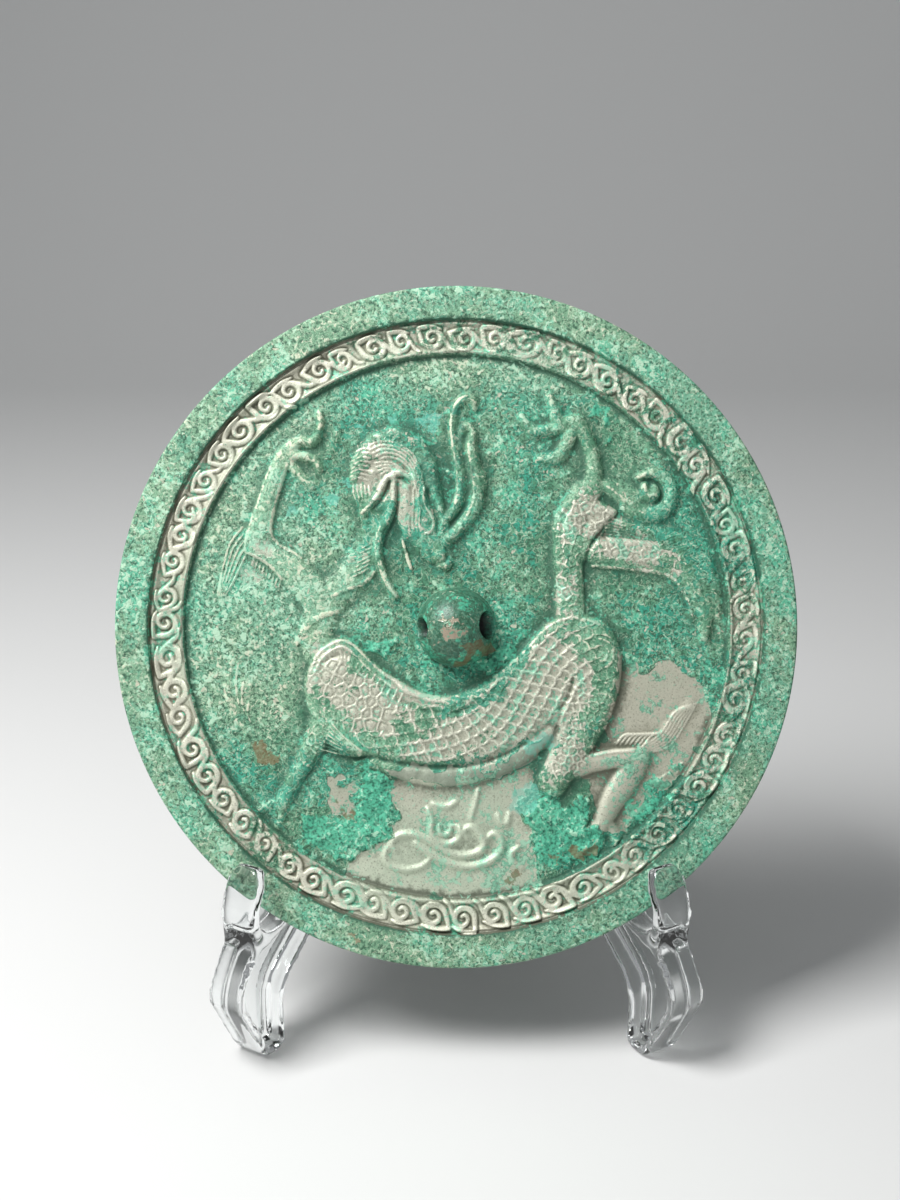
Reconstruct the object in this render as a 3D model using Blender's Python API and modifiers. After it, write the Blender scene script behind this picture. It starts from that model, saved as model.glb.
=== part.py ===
"""Ancient bronze mirror with a dragon in relief, leaning in a clear plastic stand.

The carved side of the disc faces -Y and leans back towards +Y. The stand is one clear
moulding: two side frames that spread from a joint behind the mirror. Z is up and the
floor is z = 0. Lengths are in metres.
"""
import math

import bmesh
import bpy
import numpy as np
from mathutils import Matrix, Vector

MM = 0.001

# The bronze disc
MIRROR_RADIUS = 100 * MM
RIM_THICKNESS = 6.0 * MM
RIM_WIDTH = 9.5 * MM
FIELD_THICKNESS = 3.2 * MM
BAND_WIDTH = 11.0 * MM
BAND_THICKNESS = 4.0 * MM
BORDER_RIDGE_WIDTH = 1.2 * MM
BORDER_RIDGE_HEIGHT = 0.9 * MM
STEP_RUN = 0.5 * MM
EDGE_ROUNDING = 0.5 * MM

# The knob and the hole for its cord
KNOB_RADIUS = 11.7 * MM
KNOB_HEIGHT = 12.0 * MM
CORD_HOLE_LEFT_RADIUS = 3.4 * MM
CORD_HOLE_LEFT_HEIGHT = 4.6 * MM
CORD_HOLE_RIGHT_RADIUS = 4.4 * MM
CORD_HOLE_RIGHT_HEIGHT = 6.0 * MM

# The scrolls of the band
SCROLL_COUNT = 59
SCROLL_TURNS = 1.1
SCROLL_LINE_WIDTH = 1.5 * MM
SCROLL_HEIGHT = 0.8 * MM

# How the disc stands
LEAN = math.radians(20)
RIM_ABOVE_FLOOR = 30 * MM

# The clear stand. Its side frames are drawn in their own plane, with distances back from
# the middle of the rim where it sits in the hook's notch, and heights above the floor.
SUPPORT_SPREAD = 58 * MM
FRAME_YAW = math.radians(30)
FRAME_THICKNESS = 12 * MM
WEB_THICKNESS = 4 * MM
FLANGE = 3.2 * MM
BAR_WIDTH = 13 * MM
REST_GAP = 0.4 * MM
REST_TOP = 152 * MM
REST_TOP_WIDTH = 15 * MM
SPINE_TOP = 88 * MM
SPINE_END = 5 * MM
FRONT_FOOT_REACH = 7 * MM
FRONT_FOOT_LENGTH = 10 * MM
REAR_FOOT_LENGTH = 26 * MM
ARCH_CROWN_BACK = 40 * MM
HOOK_RISE = 15 * MM
HOOK_THICKNESS = 5 * MM
HOOK_TIP_WIDTH = 4 * MM
WAIST_REACH = 10.6 * MM
WAIST_DROP = 3 * MM
BELLY_REACH = 20 * MM
OPENING_ROUNDING = 5 * MM
LARGE_ROUNDING = 9 * MM
SMALL_ROUNDING = 3.5 * MM
TIP_ROUNDING = 1.6 * MM
HEEL_ROUNDING = 1.8 * MM
TOE_ROUNDING = 6 * MM

# Heights of the front leg's curves, as shares of the notch's height
BELLY_SHARE = 0.61
INSTEP_SHARE = 0.48
CROWN_SHARE = 1.05

# Fineness of the turned disc and of its finished faces
TURN_STEPS = 360
FIELD_RING_STEP = 1.0 * MM
MIRROR_FACES = 6400

# Relief of the field. Places and half widths are hundredths of the mirror's radius,
# with x to the right and y up the disc. Heights are in the same hundredths.
FIGURE = {
    "body": (2.2, [(-38, -13, 8.5), (-31, -23, 12), (-19, -28.5, 10), (-7, -32, 8.3),
                   (4, -32, 8.3), (14, -28, 9.3), (22, -19, 11), (30, -9, 11.5), (37, -6, 9)]),
    "thigh": (2.4, [(38, -10, 11), (39, -21, 9.5), (36, -31, 7), (32, -38, 6.3), (28.5, -46, 4.6)]),
    "back ridge": (2.6, [(-43, -14, 1.6), (-41, -7, 1.7), (-35, -3.5, 1.8), (-26, -8, 1.8),
                         (-16, -16.5, 1.6), (-5, -20.3, 1.5), (5, -18, 1.5), (15, -12, 1.6),
                         (24, -3.5, 1.6), (32, 2.5, 1.8), (41, 2.5, 1.6), (48, -2, 1.2)]),
    "belly": (1.5, [(-24, -40, 1.8), (-14, -42.7, 2.8), (-3, -43.9, 3.2), (8, -42, 3.2),
                    (18, -37.6, 3.1), (26, -32, 2.8), (30.5, -28, 1.8)]),
    "neck": (1.5, [(-40, -8, 5), (-41, 1, 5), (-37, 8, 5), (-31, 14, 5), (-26, 22, 5), (-23, 30, 5)]),
    "shin": (1.8, [(33, -41, 4.5), (40, -39.7, 3.2), (48, -38.7, 3), (54, -38.3, 3)]),
    "hind foot": (1.7, [(54, -38.3, 3.2), (50.5, -44, 4), (45.5, -52, 3.4), (42.5, -59, 2.4)]),
    "hind toe front": (1.0, [(43, -57, 2), (38, -60.5, 1.5), (33.5, -60, 0.9)]),
    "hind toe middle": (1.0, [(42.5, -58, 2), (41, -63, 1.5), (37.5, -65.5, 0.9)]),
    "hind toe rear": (1.0, [(44, -57, 2), (47, -62, 1.5), (46.5, -66, 0.9)]),
    "far thigh": (2.0, [(34, 2, 5.5), (33.5, 12, 4.6), (33, 22, 4.8), (34, 31, 5.4), (38, 39, 4.4)]),
    "far heel": (1.7, [(37, 24, 2.5), (41, 30, 3.4), (46, 33.3, 1.4)]),
    "far shin": (1.7, [(40, 40, 3.4), (40.6, 47, 2.4), (39, 54, 2.3), (35.5, 60.5, 2.2)]),
    "far toe front": (1.5, [(35.5, 60, 2.1), (32.3, 55, 1.9), (29.5, 50, 1.7), (24.5, 49, 0.9)]),
    "far toe middle": (1.5, [(35, 60.5, 2.1), (28, 58, 1.8), (22.5, 57.3, 1.6), (19, 62, 0.9)]),
    "far toe rear": (1.5, [(35, 60.5, 2.1), (30, 60, 1.6), (28.2, 64, 1.4), (26.5, 68, 0.8)]),
    "tail": (1.7, [(34, 23, 3.4), (44, 22, 4.6), (55, 21, 4.8), (64, 19, 4.5), (70, 13, 4),
                   (73, 5, 3.2), (73, -3, 1.5)]),
    "tail fin": (1.0, [(48, 31, 1.5), (57, 28, 2.5), (66, 25.5, 2.4), (73, 19, 2.3), (76, 10, 1.8),
                       (77, 2, 0.9)]),
    "tail tuft": (1.3, [(44, 41.5, 2), (50, 38.5, 3.6), (57, 34.5, 3)]),
    "head": (2.2, [(-27, 47, 5), (-21, 50, 6.5), (-16, 45, 7.5), (-13, 36, 6), (-9.5, 27, 4.4),
                   (-5, 20, 3.2)]),
    "brow": (2.7, [(-28, 34, 1.4), (-24, 41, 1.8), (-18, 45.3, 1.8), (-12.5, 41, 1.6), (-14, 30, 1.2)]),
    "mane lock": (2.4, [(-18.5, 44, 1.8), (-19.5, 35, 1.8), (-24, 25, 1.9), (-24, 16, 1.7),
                        (-20.5, 9.5, 1.1)]),
    "cheek lock": (2.3, [(-15, 41, 1.4), (-16, 30, 1.5), (-15, 22, 1.4), (-13, 16, 1)]),
    "muzzle": (2.0, [(-8, 24, 3), (-5, 18, 2.6), (0, 17, 1.6)]),
    "first horn": (1.5, [(-3.5, 31, 1.4), (0.2, 40, 1.4), (0.3, 50, 1.5), (-0.7, 58, 1.4),
                         (0.2, 65, 1.3), (3.5, 67.8, 1.2), (6, 66, 0.8)]),
    "second horn": (1.5, [(-3, 27, 1.4), (3, 33, 2), (4.6, 40, 2.1), (3.2, 51, 2), (3.2, 58, 1.5),
                          (5.5, 59.5, 0.9)]),
    "raised forearm": (1.7, [(-57.5, 24, 3.6), (-57, 32, 3), (-54.5, 41, 2.8), (-51, 49, 2.4)]),
    "raised upper arm": (1.7, [(-60, 22, 3.2), (-52, 19.5, 3.8), (-45, 14, 4.2), (-40, 8, 4)]),
    "raised toe front": (1.5, [(-50, 49, 2.1), (-46, 53.3, 1.6), (-42, 56, 1.4), (-41.5, 63, 0.9)]),
    "raised toe middle": (1.5, [(-49, 48, 2.1), (-44, 49.3, 1.6), (-40, 48, 1.4), (-38.5, 45, 0.8)]),
    "raised toe rear": (1.5, [(-49, 48, 2), (-47, 45, 1.4), (-43, 42, 1.2), (-40, 41, 0.8)]),
    "low foreleg": (1.5, [(-39, -28, 4.5), (-43, -37, 3.3), (-47.5, -45, 2.6), (-51.5, -53, 2.1)]),
    "low toe front": (0.9, [(-51, -52, 2), (-57, -53, 1.4), (-60, -57, 0.8)]),
    "low toe rear": (0.9, [(-51, -52, 2), (-52, -58, 1.4), (-56, -62, 0.8)]),
    "heel hair": (0.8, [(54, -36.5, 1.6), (60, -33, 2.6), (65, -27, 2.6), (69, -22, 1.4)]),
    "cloud outer": (1.0, [(12.5, -61, 0.9), (13.4, -66, 1.2), (8.5, -69.8, 1.3), (1, -70.4, 1.3),
                          (-7, -66.8, 1.2), (-13, -63.5, 0.9)]),
    "cloud inner": (1.0, [(2, -60.5, 1), (6.5, -60.3, 1.1), (8.3, -64, 1.2), (3, -67.2, 1.2),
                          (-5, -64.8, 1.2), (-13, -61, 1.2), (-18.5, -63, 1), (-17.5, -66, 0.8)]),
    "cloud head": (1.1, [(-8.4, -53.4, 0.8), (-7.3, -59, 1.1), (-4, -63.3, 1.1), (1, -62, 1), (0.5, -58, 0.8)]),
    "cloud tail": (0.9, [(-21, -65.5, 0.9), (-19.5, -70, 1.2), (-13, -71.5, 1.1), (-7.5, -68, 0.8)]),
    "cloud dash": (0.8, [(12.3, -55, 0.8), (13.6, -57.6, 1), (15.8, -55, 0.8)]),
    "cloud comma": (0.8, [(18.3, -64.5, 0.8), (16.3, -68, 1.1), (19.5, -71, 0.7)]),
    "left cloud": (0.7, [(-66, -9, 1), (-67.5, -18, 1.4), (-65.5, -26, 1.3), (-61, -31, 0.9)]),
}
CURLS = {"tail curl": (1.3, 60, 38.3, 4.6), "left cloud curl": (0.7, -61.5, -18, 3.2)}


def smooth_line(points, per_span=6):
    """Points of a smooth curve through the given rows, whose later columns run along too."""
    rows = np.array(points, float)
    ends = np.vstack([2 * rows[0] - rows[1], rows, 2 * rows[-1] - rows[-2]])
    t = np.linspace(0, 1, per_span, endpoint=False)[:, None]
    spans = []
    for i in range(len(rows) - 1):
        a, b, c, d = ends[i:i + 4]
        spans.append(b + 0.5 * t * (c - a + t * (2 * a - 5 * b + 4 * c - d + t * (3 * (b - c) + d - a))))
    return np.vstack(spans + [rows[-1:]])


def raise_stroke(heights, x, y, line, height, roundness=0.6):
    """Lift the field to a rounded ridge along a line of (x, y, half width) rows."""
    for (x0, y0, w0), (x1, y1, w1) in zip(line[:-1], line[1:]):
        reach = max(w0, w1)
        near = ((x > min(x0, x1) - reach) & (x < max(x0, x1) + reach)
                & (y > min(y0, y1) - reach) & (y < max(y0, y1) + reach))
        px, py = x[near] - x0, y[near] - y0
        dx, dy = x1 - x0, y1 - y0
        along = np.clip((px * dx + py * dy) / (dx * dx + dy * dy), 0, 1)
        away = np.hypot(px - along * dx, py - along * dy) / (w0 + along * (w1 - w0))
        heights[near] = np.maximum(heights[near], height * np.clip(1 - away ** 2, 0, 1) ** roundness)


def spiral(cx, cy, radius, turns, width, start=0.0, steps=14):
    """Rows of a spiral that winds in from the radius to a quarter of it."""
    rows = []
    for i in range(steps + 1):
        t = i / steps
        angle = start + 2 * math.pi * turns * t
        r = radius * (1 - 0.75 * t)
        rows.append((cx + r * math.cos(angle), cy + r * math.sin(angle), width))
    return rows


def relief(x, y):
    """Height of the figure and the scrolls above the turned face, in hundredths of the radius."""
    unit = MIRROR_RADIUS / 100
    heights = np.zeros_like(x)
    for height, points in FIGURE.values():
        raise_stroke(heights, x, y, smooth_line(points), height)
    for height, cx, cy, radius in CURLS.values():
        raise_stroke(heights, x, y, spiral(cx, cy, radius, 1.3, 1.3), height)
    middle = (MIRROR_RADIUS - RIM_WIDTH - BAND_WIDTH / 2) / unit
    width = SCROLL_LINE_WIDTH / 2 / unit
    size = (BAND_WIDTH / 2 - BORDER_RIDGE_WIDTH) / unit * 0.62
    for i in range(SCROLL_COUNT):
        angle = 2 * math.pi * i / SCROLL_COUNT
        cx, cy = middle * math.cos(angle), middle * math.sin(angle)
        start = angle + (0 if i % 2 else math.pi)
        raise_stroke(heights, x, y, np.array(spiral(cx, cy, size, SCROLL_TURNS, width, start)),
                     SCROLL_HEIGHT / unit)
    return heights


def linked(objects, collection):
    for obj in objects:
        for owner in list(obj.users_collection):
            owner.objects.unlink(obj)
        collection.objects.link(obj)


def principled(name, color, roughness, metallic=0.0, **inputs):
    mat = bpy.data.materials.new(name)
    mat.use_nodes = True
    shader = mat.node_tree.nodes["Principled BSDF"]
    shader.inputs["Base Color"].default_value = (*color, 1)
    shader.inputs["Roughness"].default_value = roughness
    shader.inputs["Metallic"].default_value = metallic
    for key, value in inputs.items():
        shader.inputs[key.replace("_", " ")].default_value = value
    return mat


def as_mesh(obj, name):
    """A new mesh object of what an object evaluates to, with its doubles merged."""
    depsgraph = bpy.context.evaluated_depsgraph_get()
    mesh = bpy.data.meshes.new_from_object(obj.evaluated_get(depsgraph))
    bm = bmesh.new()
    bm.from_mesh(mesh)
    bmesh.ops.remove_doubles(bm, verts=bm.verts, dist=0.00001)
    bmesh.ops.recalc_face_normals(bm, faces=bm.faces)
    bm.to_mesh(mesh)
    bm.free()
    place = obj.matrix_world.copy()
    bpy.data.objects.remove(obj)
    made = bpy.data.objects.new(name, mesh)
    made.matrix_world = place
    bpy.context.scene.collection.objects.link(made)
    return made


def disc_profile():
    """Half section of the disc and its knob, from the top of the knob round to the back."""
    field_edge = MIRROR_RADIUS - RIM_WIDTH - BAND_WIDTH
    rim_edge = MIRROR_RADIUS - RIM_WIDTH
    knob_steps = 10
    points = []
    for i in range(knob_steps):
        angle = math.pi / 2 * i / knob_steps
        points.append((KNOB_RADIUS * math.sin(angle), FIELD_THICKNESS + KNOB_HEIGHT * math.cos(angle)))
    ring_count = round((field_edge - KNOB_RADIUS) / FIELD_RING_STEP)
    for i in range(ring_count):
        points.append((KNOB_RADIUS + (field_edge - KNOB_RADIUS) * i / ring_count, FIELD_THICKNESS))
    points.append((field_edge, FIELD_THICKNESS))
    ridge = BORDER_RIDGE_WIDTH
    inner, outer = field_edge + STEP_RUN, rim_edge - STEP_RUN
    points += [(inner, BAND_THICKNESS + BORDER_RIDGE_HEIGHT),
               (inner + ridge, BAND_THICKNESS + BORDER_RIDGE_HEIGHT),
               (inner + ridge + STEP_RUN, BAND_THICKNESS)]
    band_start, band_end = inner + ridge + STEP_RUN, outer - ridge - 2 * STEP_RUN
    band_count = round((band_end - band_start) / (0.7 * MM))
    for i in range(1, band_count):
        points.append((band_start + (band_end - band_start) * i / band_count, BAND_THICKNESS))
    points += [(band_end, BAND_THICKNESS),
               (band_end + STEP_RUN, BAND_THICKNESS + BORDER_RIDGE_HEIGHT),
               (band_end + STEP_RUN + ridge, BAND_THICKNESS + BORDER_RIDGE_HEIGHT),
               (outer, BAND_THICKNESS + BORDER_RIDGE_HEIGHT / 2),
               (rim_edge, RIM_THICKNESS - EDGE_ROUNDING),
               (rim_edge + EDGE_ROUNDING, RIM_THICKNESS),
               (MIRROR_RADIUS - EDGE_ROUNDING, RIM_THICKNESS),
               (MIRROR_RADIUS, RIM_THICKNESS - EDGE_ROUNDING),
               (MIRROR_RADIUS, EDGE_ROUNDING),
               (MIRROR_RADIUS - EDGE_ROUNDING, 0)]
    return points


def carve(mesh):
    """Lift the carved side's points by the relief, clear of the knob and the rim."""
    count = len(mesh.vertices)
    co = np.empty(count * 3)
    mesh.vertices.foreach_get("co", co)
    co = co.reshape(count, 3)
    radius = np.hypot(co[:, 0], co[:, 1])
    outer = MIRROR_RADIUS - RIM_WIDTH - STEP_RUN
    carved = (co[:, 2] > FIELD_THICKNESS / 2) & (radius > KNOB_RADIUS) & (radius < outer)
    unit = MIRROR_RADIUS / 100
    height = relief(co[carved, 0] / unit, co[carved, 1] / unit) * unit
    floor = np.maximum(co[carved, 2], FIELD_THICKNESS + height)
    in_band = radius[carved] > outer - BAND_WIDTH + 2 * STEP_RUN
    co[carved, 2] = np.where(in_band, co[carved, 2] + height, floor)
    mesh.vertices.foreach_set("co", co.ravel())
    mesh.update()


def mirror_frame():
    """The disc's place: its own z runs out of the carved side, its own y up the disc."""
    height = RIM_ABOVE_FLOOR + MIRROR_RADIUS * math.cos(LEAN)
    return Matrix.Translation((0, 0, height)) @ Matrix.Rotation(math.pi / 2 - LEAN, 4, "X")


def bronze_mirror(parts, cutters):
    """The disc: a turned profile, carved, thinned to few faces and bored for the cord."""
    profile = bpy.data.meshes.new("mirror profile")
    points = disc_profile()
    verts = [(r, 0, z) for r, z in points] + [(0, 0, 0)]
    profile.from_pydata(verts, [(i, i + 1) for i in range(len(verts) - 1)], [])
    turned = bpy.data.objects.new("mirror profile", profile)
    bpy.context.scene.collection.objects.link(turned)
    screw = turned.modifiers.new("turn", "SCREW")
    screw.steps = screw.render_steps = TURN_STEPS
    screw.use_merge_vertices = True
    screw.merge_threshold = 0.00001
    disc = as_mesh(turned, "bronze_mirror")
    carve(disc.data)
    faces = sum(len(p.vertices) - 2 for p in disc.data.polygons)
    thin = disc.modifiers.new("few faces", "DECIMATE")
    thin.ratio = MIRROR_FACES / faces

    left = Vector((-KNOB_RADIUS, 0, FIELD_THICKNESS + CORD_HOLE_LEFT_HEIGHT))
    right = Vector((KNOB_RADIUS, 0, FIELD_THICKNESS + CORD_HOLE_RIGHT_HEIGHT))
    bpy.ops.mesh.primitive_cone_add(vertices=20, radius1=CORD_HOLE_LEFT_RADIUS,
                                    radius2=CORD_HOLE_RIGHT_RADIUS, depth=(right - left).length)
    hole = bpy.context.object
    hole.name = "cord hole cutter"
    place = mirror_frame()
    hole.matrix_world = (place @ Matrix.Translation((left + right) / 2)
                         @ (right - left).to_track_quat("Z", "Y").to_matrix().to_4x4())
    hole.display_type = "WIRE"
    hole.hide_render = True
    bore = disc.modifiers.new("cord hole", "BOOLEAN")
    bore.operation = "DIFFERENCE"
    bore.object = hole
    disc.matrix_world = place
    disc.data.materials.append(principled("patinated bronze", (0.13, 0.35, 0.25), 0.7, 0.3))
    linked([disc], parts)
    linked([hole], cutters)
    return disc


def crossing(p, a, q, b):
    """Where the line through p along a meets the line through q along b."""
    return p + a * ((q - p).cross(b) / a.cross(b))


def offset_corners(corners, grow):
    """Corners (s, z, radius), anticlockwise, with every side moved outwards by a distance."""
    count = len(corners)
    lines = []
    for i in range(count):
        p = Vector(corners[i][:2])
        along = (Vector(corners[(i + 1) % count][:2]) - p).normalized()
        lines.append((p + grow * Vector((along.y, -along.x)), along))
    moved = []
    for i in range(count):
        corner = crossing(*lines[i - 1], *lines[i])
        change = grow if lines[i - 1][1].cross(lines[i][1]) > 0 else -grow
        moved.append((corner.x, corner.y, max(corners[i][2] + change, 0.5 * MM)))
    return moved


def rounded(corners, step=math.radians(15)):
    """The outline's points, with an arc of the corner's radius at every corner."""
    points = []
    count = len(corners)
    for i in range(count):
        corner = Vector(corners[i][:2])
        before = (corner - Vector(corners[i - 1][:2])).normalized()
        after = (Vector(corners[(i + 1) % count][:2]) - corner).normalized()
        turn = before.angle_signed(after)
        reach = corners[i][2] * math.tan(abs(turn) / 2)
        centre = corner + (after - before).normalized() * corners[i][2] / math.cos(turn / 2)
        first = corner - before * reach - centre
        pieces = max(1, math.ceil(abs(turn) / step))
        for k in range(pieces + 1):
            arm = Matrix.Rotation(-turn * k / pieces, 2) @ first
            points.append(centre + arm)
    return points


def plate(name, outlines, half_thickness):
    """A flat plate with the given outlines, the first outside and the others holes in it."""
    curve = bpy.data.curves.new(name, "CURVE")
    curve.dimensions = "2D"
    curve.fill_mode = "BOTH"
    curve.extrude = half_thickness
    for points in outlines:
        spline = curve.splines.new("POLY")
        spline.points.add(len(points) - 1)
        for point, (s, z) in zip(spline.points, points):
            point.co = (s, z, 0, 1)
        spline.use_cyclic_u = True
    obj = bpy.data.objects.new(name, curve)
    bpy.context.scene.collection.objects.link(obj)
    return as_mesh(obj, name)


def rim_in_frame():
    """Lowest height of the rim between a side frame's two faces."""
    heights = []
    steps = 720
    for i in range(steps):
        angle = math.pi * (1 + i / steps)
        for depth in (0, RIM_THICKNESS):
            local = Vector((MIRROR_RADIUS * math.cos(angle), MIRROR_RADIUS * math.sin(angle), depth))
            place = mirror_frame() @ local
            across = frame_place().inverted() @ place
            if abs(across.z) < FRAME_THICKNESS / 2:
                heights.append(place.z)
    return min(heights)


def frame_place():
    """A side frame's place: its own x runs back along the frame, its own y up."""
    drop = -math.sqrt(MIRROR_RADIUS ** 2 - SUPPORT_SPREAD ** 2)
    support = mirror_frame() @ Vector((-SUPPORT_SPREAD, drop, RIM_THICKNESS / 2))
    back = Vector((math.sin(FRAME_YAW), math.cos(FRAME_YAW), 0))
    up = Vector((0, 0, 1))
    turn = Matrix((back, up, back.cross(up))).transposed().to_4x4()
    return Matrix.Translation((support.x, support.y, 0)) @ turn


def side_frame_corners():
    """Corners of the frame's body, its hook and its opening."""
    drop = -math.sqrt(MIRROR_RADIUS ** 2 - SUPPORT_SPREAD ** 2)
    level = (mirror_frame() @ Vector((-SUPPORT_SPREAD, drop, RIM_THICKNESS / 2))).z
    slope = math.tan(LEAN) / math.cos(FRAME_YAW)
    half_room = (RIM_THICKNESS / math.cos(LEAN) / math.cos(FRAME_YAW)
                 + FRAME_THICKNESS * math.tan(FRAME_YAW)) / 2 + REST_GAP
    floor = rim_in_frame() - REST_GAP

    def rest_at(z):
        return half_room + (z - level) * slope

    def face_at(z):
        return (z - level) * slope - half_room

    spine = SUPPORT_SPREAD / math.sin(FRAME_YAW)
    faces_meet = spine - FRAME_THICKNESS / 2 / math.tan(FRAME_YAW)
    heel = FRONT_FOOT_LENGTH - FRONT_FOOT_REACH
    instep = (heel, floor * INSTEP_SHARE, LARGE_ROUNDING)
    crown = (ARCH_CROWN_BACK, floor * CROWN_SHARE, 2 * LARGE_ROUNDING)
    rear_toe = (spine - REAR_FOOT_LENGTH, 0, SMALL_ROUNDING)
    apex = (rest_at(REST_TOP) + REST_TOP_WIDTH, REST_TOP, LARGE_ROUNDING)
    body = [(-FRONT_FOOT_REACH, 0, TOE_ROUNDING), (heel, 0, HEEL_ROUNDING), instep, crown,
            rear_toe, (spine + SPINE_END, 0, TIP_ROUNDING),
            (spine + SPINE_END, SPINE_TOP, LARGE_ROUNDING), apex,
            (rest_at(REST_TOP), REST_TOP, 2 * SMALL_ROUNDING), (rest_at(floor), floor, SMALL_ROUNDING),
            (-WAIST_REACH, floor - WAIST_DROP, TIP_ROUNDING / 2),
            (-BELLY_REACH, floor * BELLY_SHARE, LARGE_ROUNDING)]
    bend = level + REST_GAP + FRAME_THICKNESS * math.tan(LEAN) / 2
    top = level + HOOK_RISE
    hook = [(face_at(bend), floor, SMALL_ROUNDING), (face_at(bend), bend, SMALL_ROUNDING),
            (face_at(top), top, TIP_ROUNDING), (face_at(top) - HOOK_TIP_WIDTH, top, 1.5 * TIP_ROUNDING),
            (face_at(bend) - HOOK_THICKNESS, bend, LARGE_ROUNDING)]
    outline = body[:10] + hook + body[10:]

    rest_line = (Vector((rest_at(level), level)), Vector((slope, 1)))
    arch_front = (Vector(crown[:2]), Vector(crown[:2]) - Vector(instep[:2]))
    arch_rear = (Vector(crown[:2]), Vector(rear_toe[:2]) - Vector(crown[:2]))
    spine_line = (Vector((faces_meet, 0)), Vector((0, 1)))
    top_edge = (Vector(apex[:2]), Vector((spine + SPINE_END, SPINE_TOP)) - Vector(apex[:2]))
    inside = BAR_WIDTH + OPENING_ROUNDING
    opening = [(*crossing(*rest_line, *arch_front), BAR_WIDTH + SMALL_ROUNDING), (*crown[:2], 0),
               (*crossing(*arch_rear, *spine_line), inside), (*crossing(*top_edge, *spine_line), inside),
               (*crossing(*top_edge, *rest_line), inside)]
    channel = list(body)
    channel[5:7] = [(faces_meet, 0, SMALL_ROUNDING), (*opening[3][:2], LARGE_ROUNDING)]
    return outline, channel, opening


def clear_stand(parts, cutters):
    """Both side frames in one: a flanged plate, cut at the middle plane and mirrored."""
    outline, channel_outline, opening = side_frame_corners()
    hole = offset_corners(opening, -BAR_WIDTH)
    frame = plate("clear_stand", [rounded(outline), rounded(hole)], FRAME_THICKNESS / 2)
    place = frame_place()
    frame.data.transform(place)
    channel = [rounded(offset_corners(channel_outline, -FLANGE)), rounded(offset_corners(hole, FLANGE))]
    depth = (FRAME_THICKNESS - WEB_THICKNESS) / 2
    for side in (-1, 1):
        cutter = plate("channel cutter", channel, depth)
        cutter.data.transform(place @ Matrix.Translation((0, 0, side * (WEB_THICKNESS / 2 + depth))))
        cutter.display_type = "WIRE"
        cutter.hide_render = True
        cut = frame.modifiers.new("channel", "BOOLEAN")
        cut.operation = "DIFFERENCE"
        cut.object = cutter
        linked([cutter], cutters)
    mirror = frame.modifiers.new("other side", "MIRROR")
    mirror.use_bisect_axis[0] = True
    mirror.use_bisect_flip_axis[0] = True
    mirror.merge_threshold = 0.00002
    frame.data.materials.append(principled("clear plastic", (0.95, 0.97, 0.97), 0.05, 0,
                                           Transmission_Weight=1.0, IOR=1.49))
    linked([frame], parts)
    return frame


def centre_front_to_back(parts):
    """Move everything so that the middle of the parts' depth is at y = 0."""
    depsgraph = bpy.context.evaluated_depsgraph_get()
    depths = []
    for obj in parts.objects:
        seen = obj.evaluated_get(depsgraph)
        depths += [(seen.matrix_world @ vertex.co).y for vertex in seen.data.vertices]
    middle = (min(depths) + max(depths)) / 2
    for obj in bpy.data.objects:
        obj.matrix_world = Matrix.Translation((0, -middle, 0)) @ obj.matrix_world


def build():
    for obj in list(bpy.data.objects):
        bpy.data.objects.remove(obj)
    parts = bpy.data.collections.new("ancient bronze mirror")
    cutters = bpy.data.collections.new("cutters")
    bpy.context.scene.collection.children.link(parts)
    bpy.context.scene.collection.children.link(cutters)
    bronze_mirror(parts, cutters)
    clear_stand(parts, cutters)
    centre_front_to_back(parts)


build()
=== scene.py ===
"""Looks of an ancient bronze mirror with a dragon in relief, leaning in a clear plastic stand."""
import math

import bmesh
import bpy
import numpy as np
from mathutils import Matrix, Vector


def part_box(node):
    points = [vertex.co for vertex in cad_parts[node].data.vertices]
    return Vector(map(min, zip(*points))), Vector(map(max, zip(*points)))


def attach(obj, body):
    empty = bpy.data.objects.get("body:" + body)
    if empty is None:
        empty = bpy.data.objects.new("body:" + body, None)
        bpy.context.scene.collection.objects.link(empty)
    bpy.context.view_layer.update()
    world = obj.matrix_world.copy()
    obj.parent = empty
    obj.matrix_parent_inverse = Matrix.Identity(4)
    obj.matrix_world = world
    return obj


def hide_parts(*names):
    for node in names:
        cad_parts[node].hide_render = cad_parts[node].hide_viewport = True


MM = 0.001

# The disc, in millimetres. Its own z runs out of the carved side and its own y up the disc.
MIRROR_RADIUS = 99.9
SOLID_RADIUS = 100.0
RIM_EDGE = 90.5
RIM_THICKNESS = 6.0
BAND_EDGE = 79.5
BAND_THICKNESS = 4.0
FIELD_THICKNESS = 3.2
BORDER_RIDGE = 0.8
BORDER_LINES = (80.9, 89.0)
BORDER_LINE_WIDTH = 0.7
RIM_ROUNDING = 0.8
BACK_ROUNDING = 0.5
BACK_EDGE_LOSS = 0.14
LEAN = math.radians(20)
RIM_ABOVE_FLOOR = 30.0

# The knob, and the two ends of its cord hole: x, height above the field and radius
KNOB_RADIUS = 11.7
KNOB_HEIGHT = 12.0
CORD_HOLE_LEFT = (-KNOB_RADIUS, 4.6, 3.4)
CORD_HOLE_RIGHT = (KNOB_RADIUS, 6.0, 4.4)

# The stand's softened edges, and its hooks: the turn of the side frames, and each tip's height,
# rounded length and narrowing
STAND_CELL = 0.95
STAND_SOFTENING = 14
FRAME_YAW = math.radians(30)
HOOK_TOP = 63.5
TIP_LENGTH = 7.0
TIP_NARROWING = 0.8

# The map that the carving is worked out on, and how far its forms, cuts and fine lines are softened
MAP_STEP = 0.2
FORM_BLUR = 0.4
CUT_BLUR = 0.25
LINE_BLUR = 0.14

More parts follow.
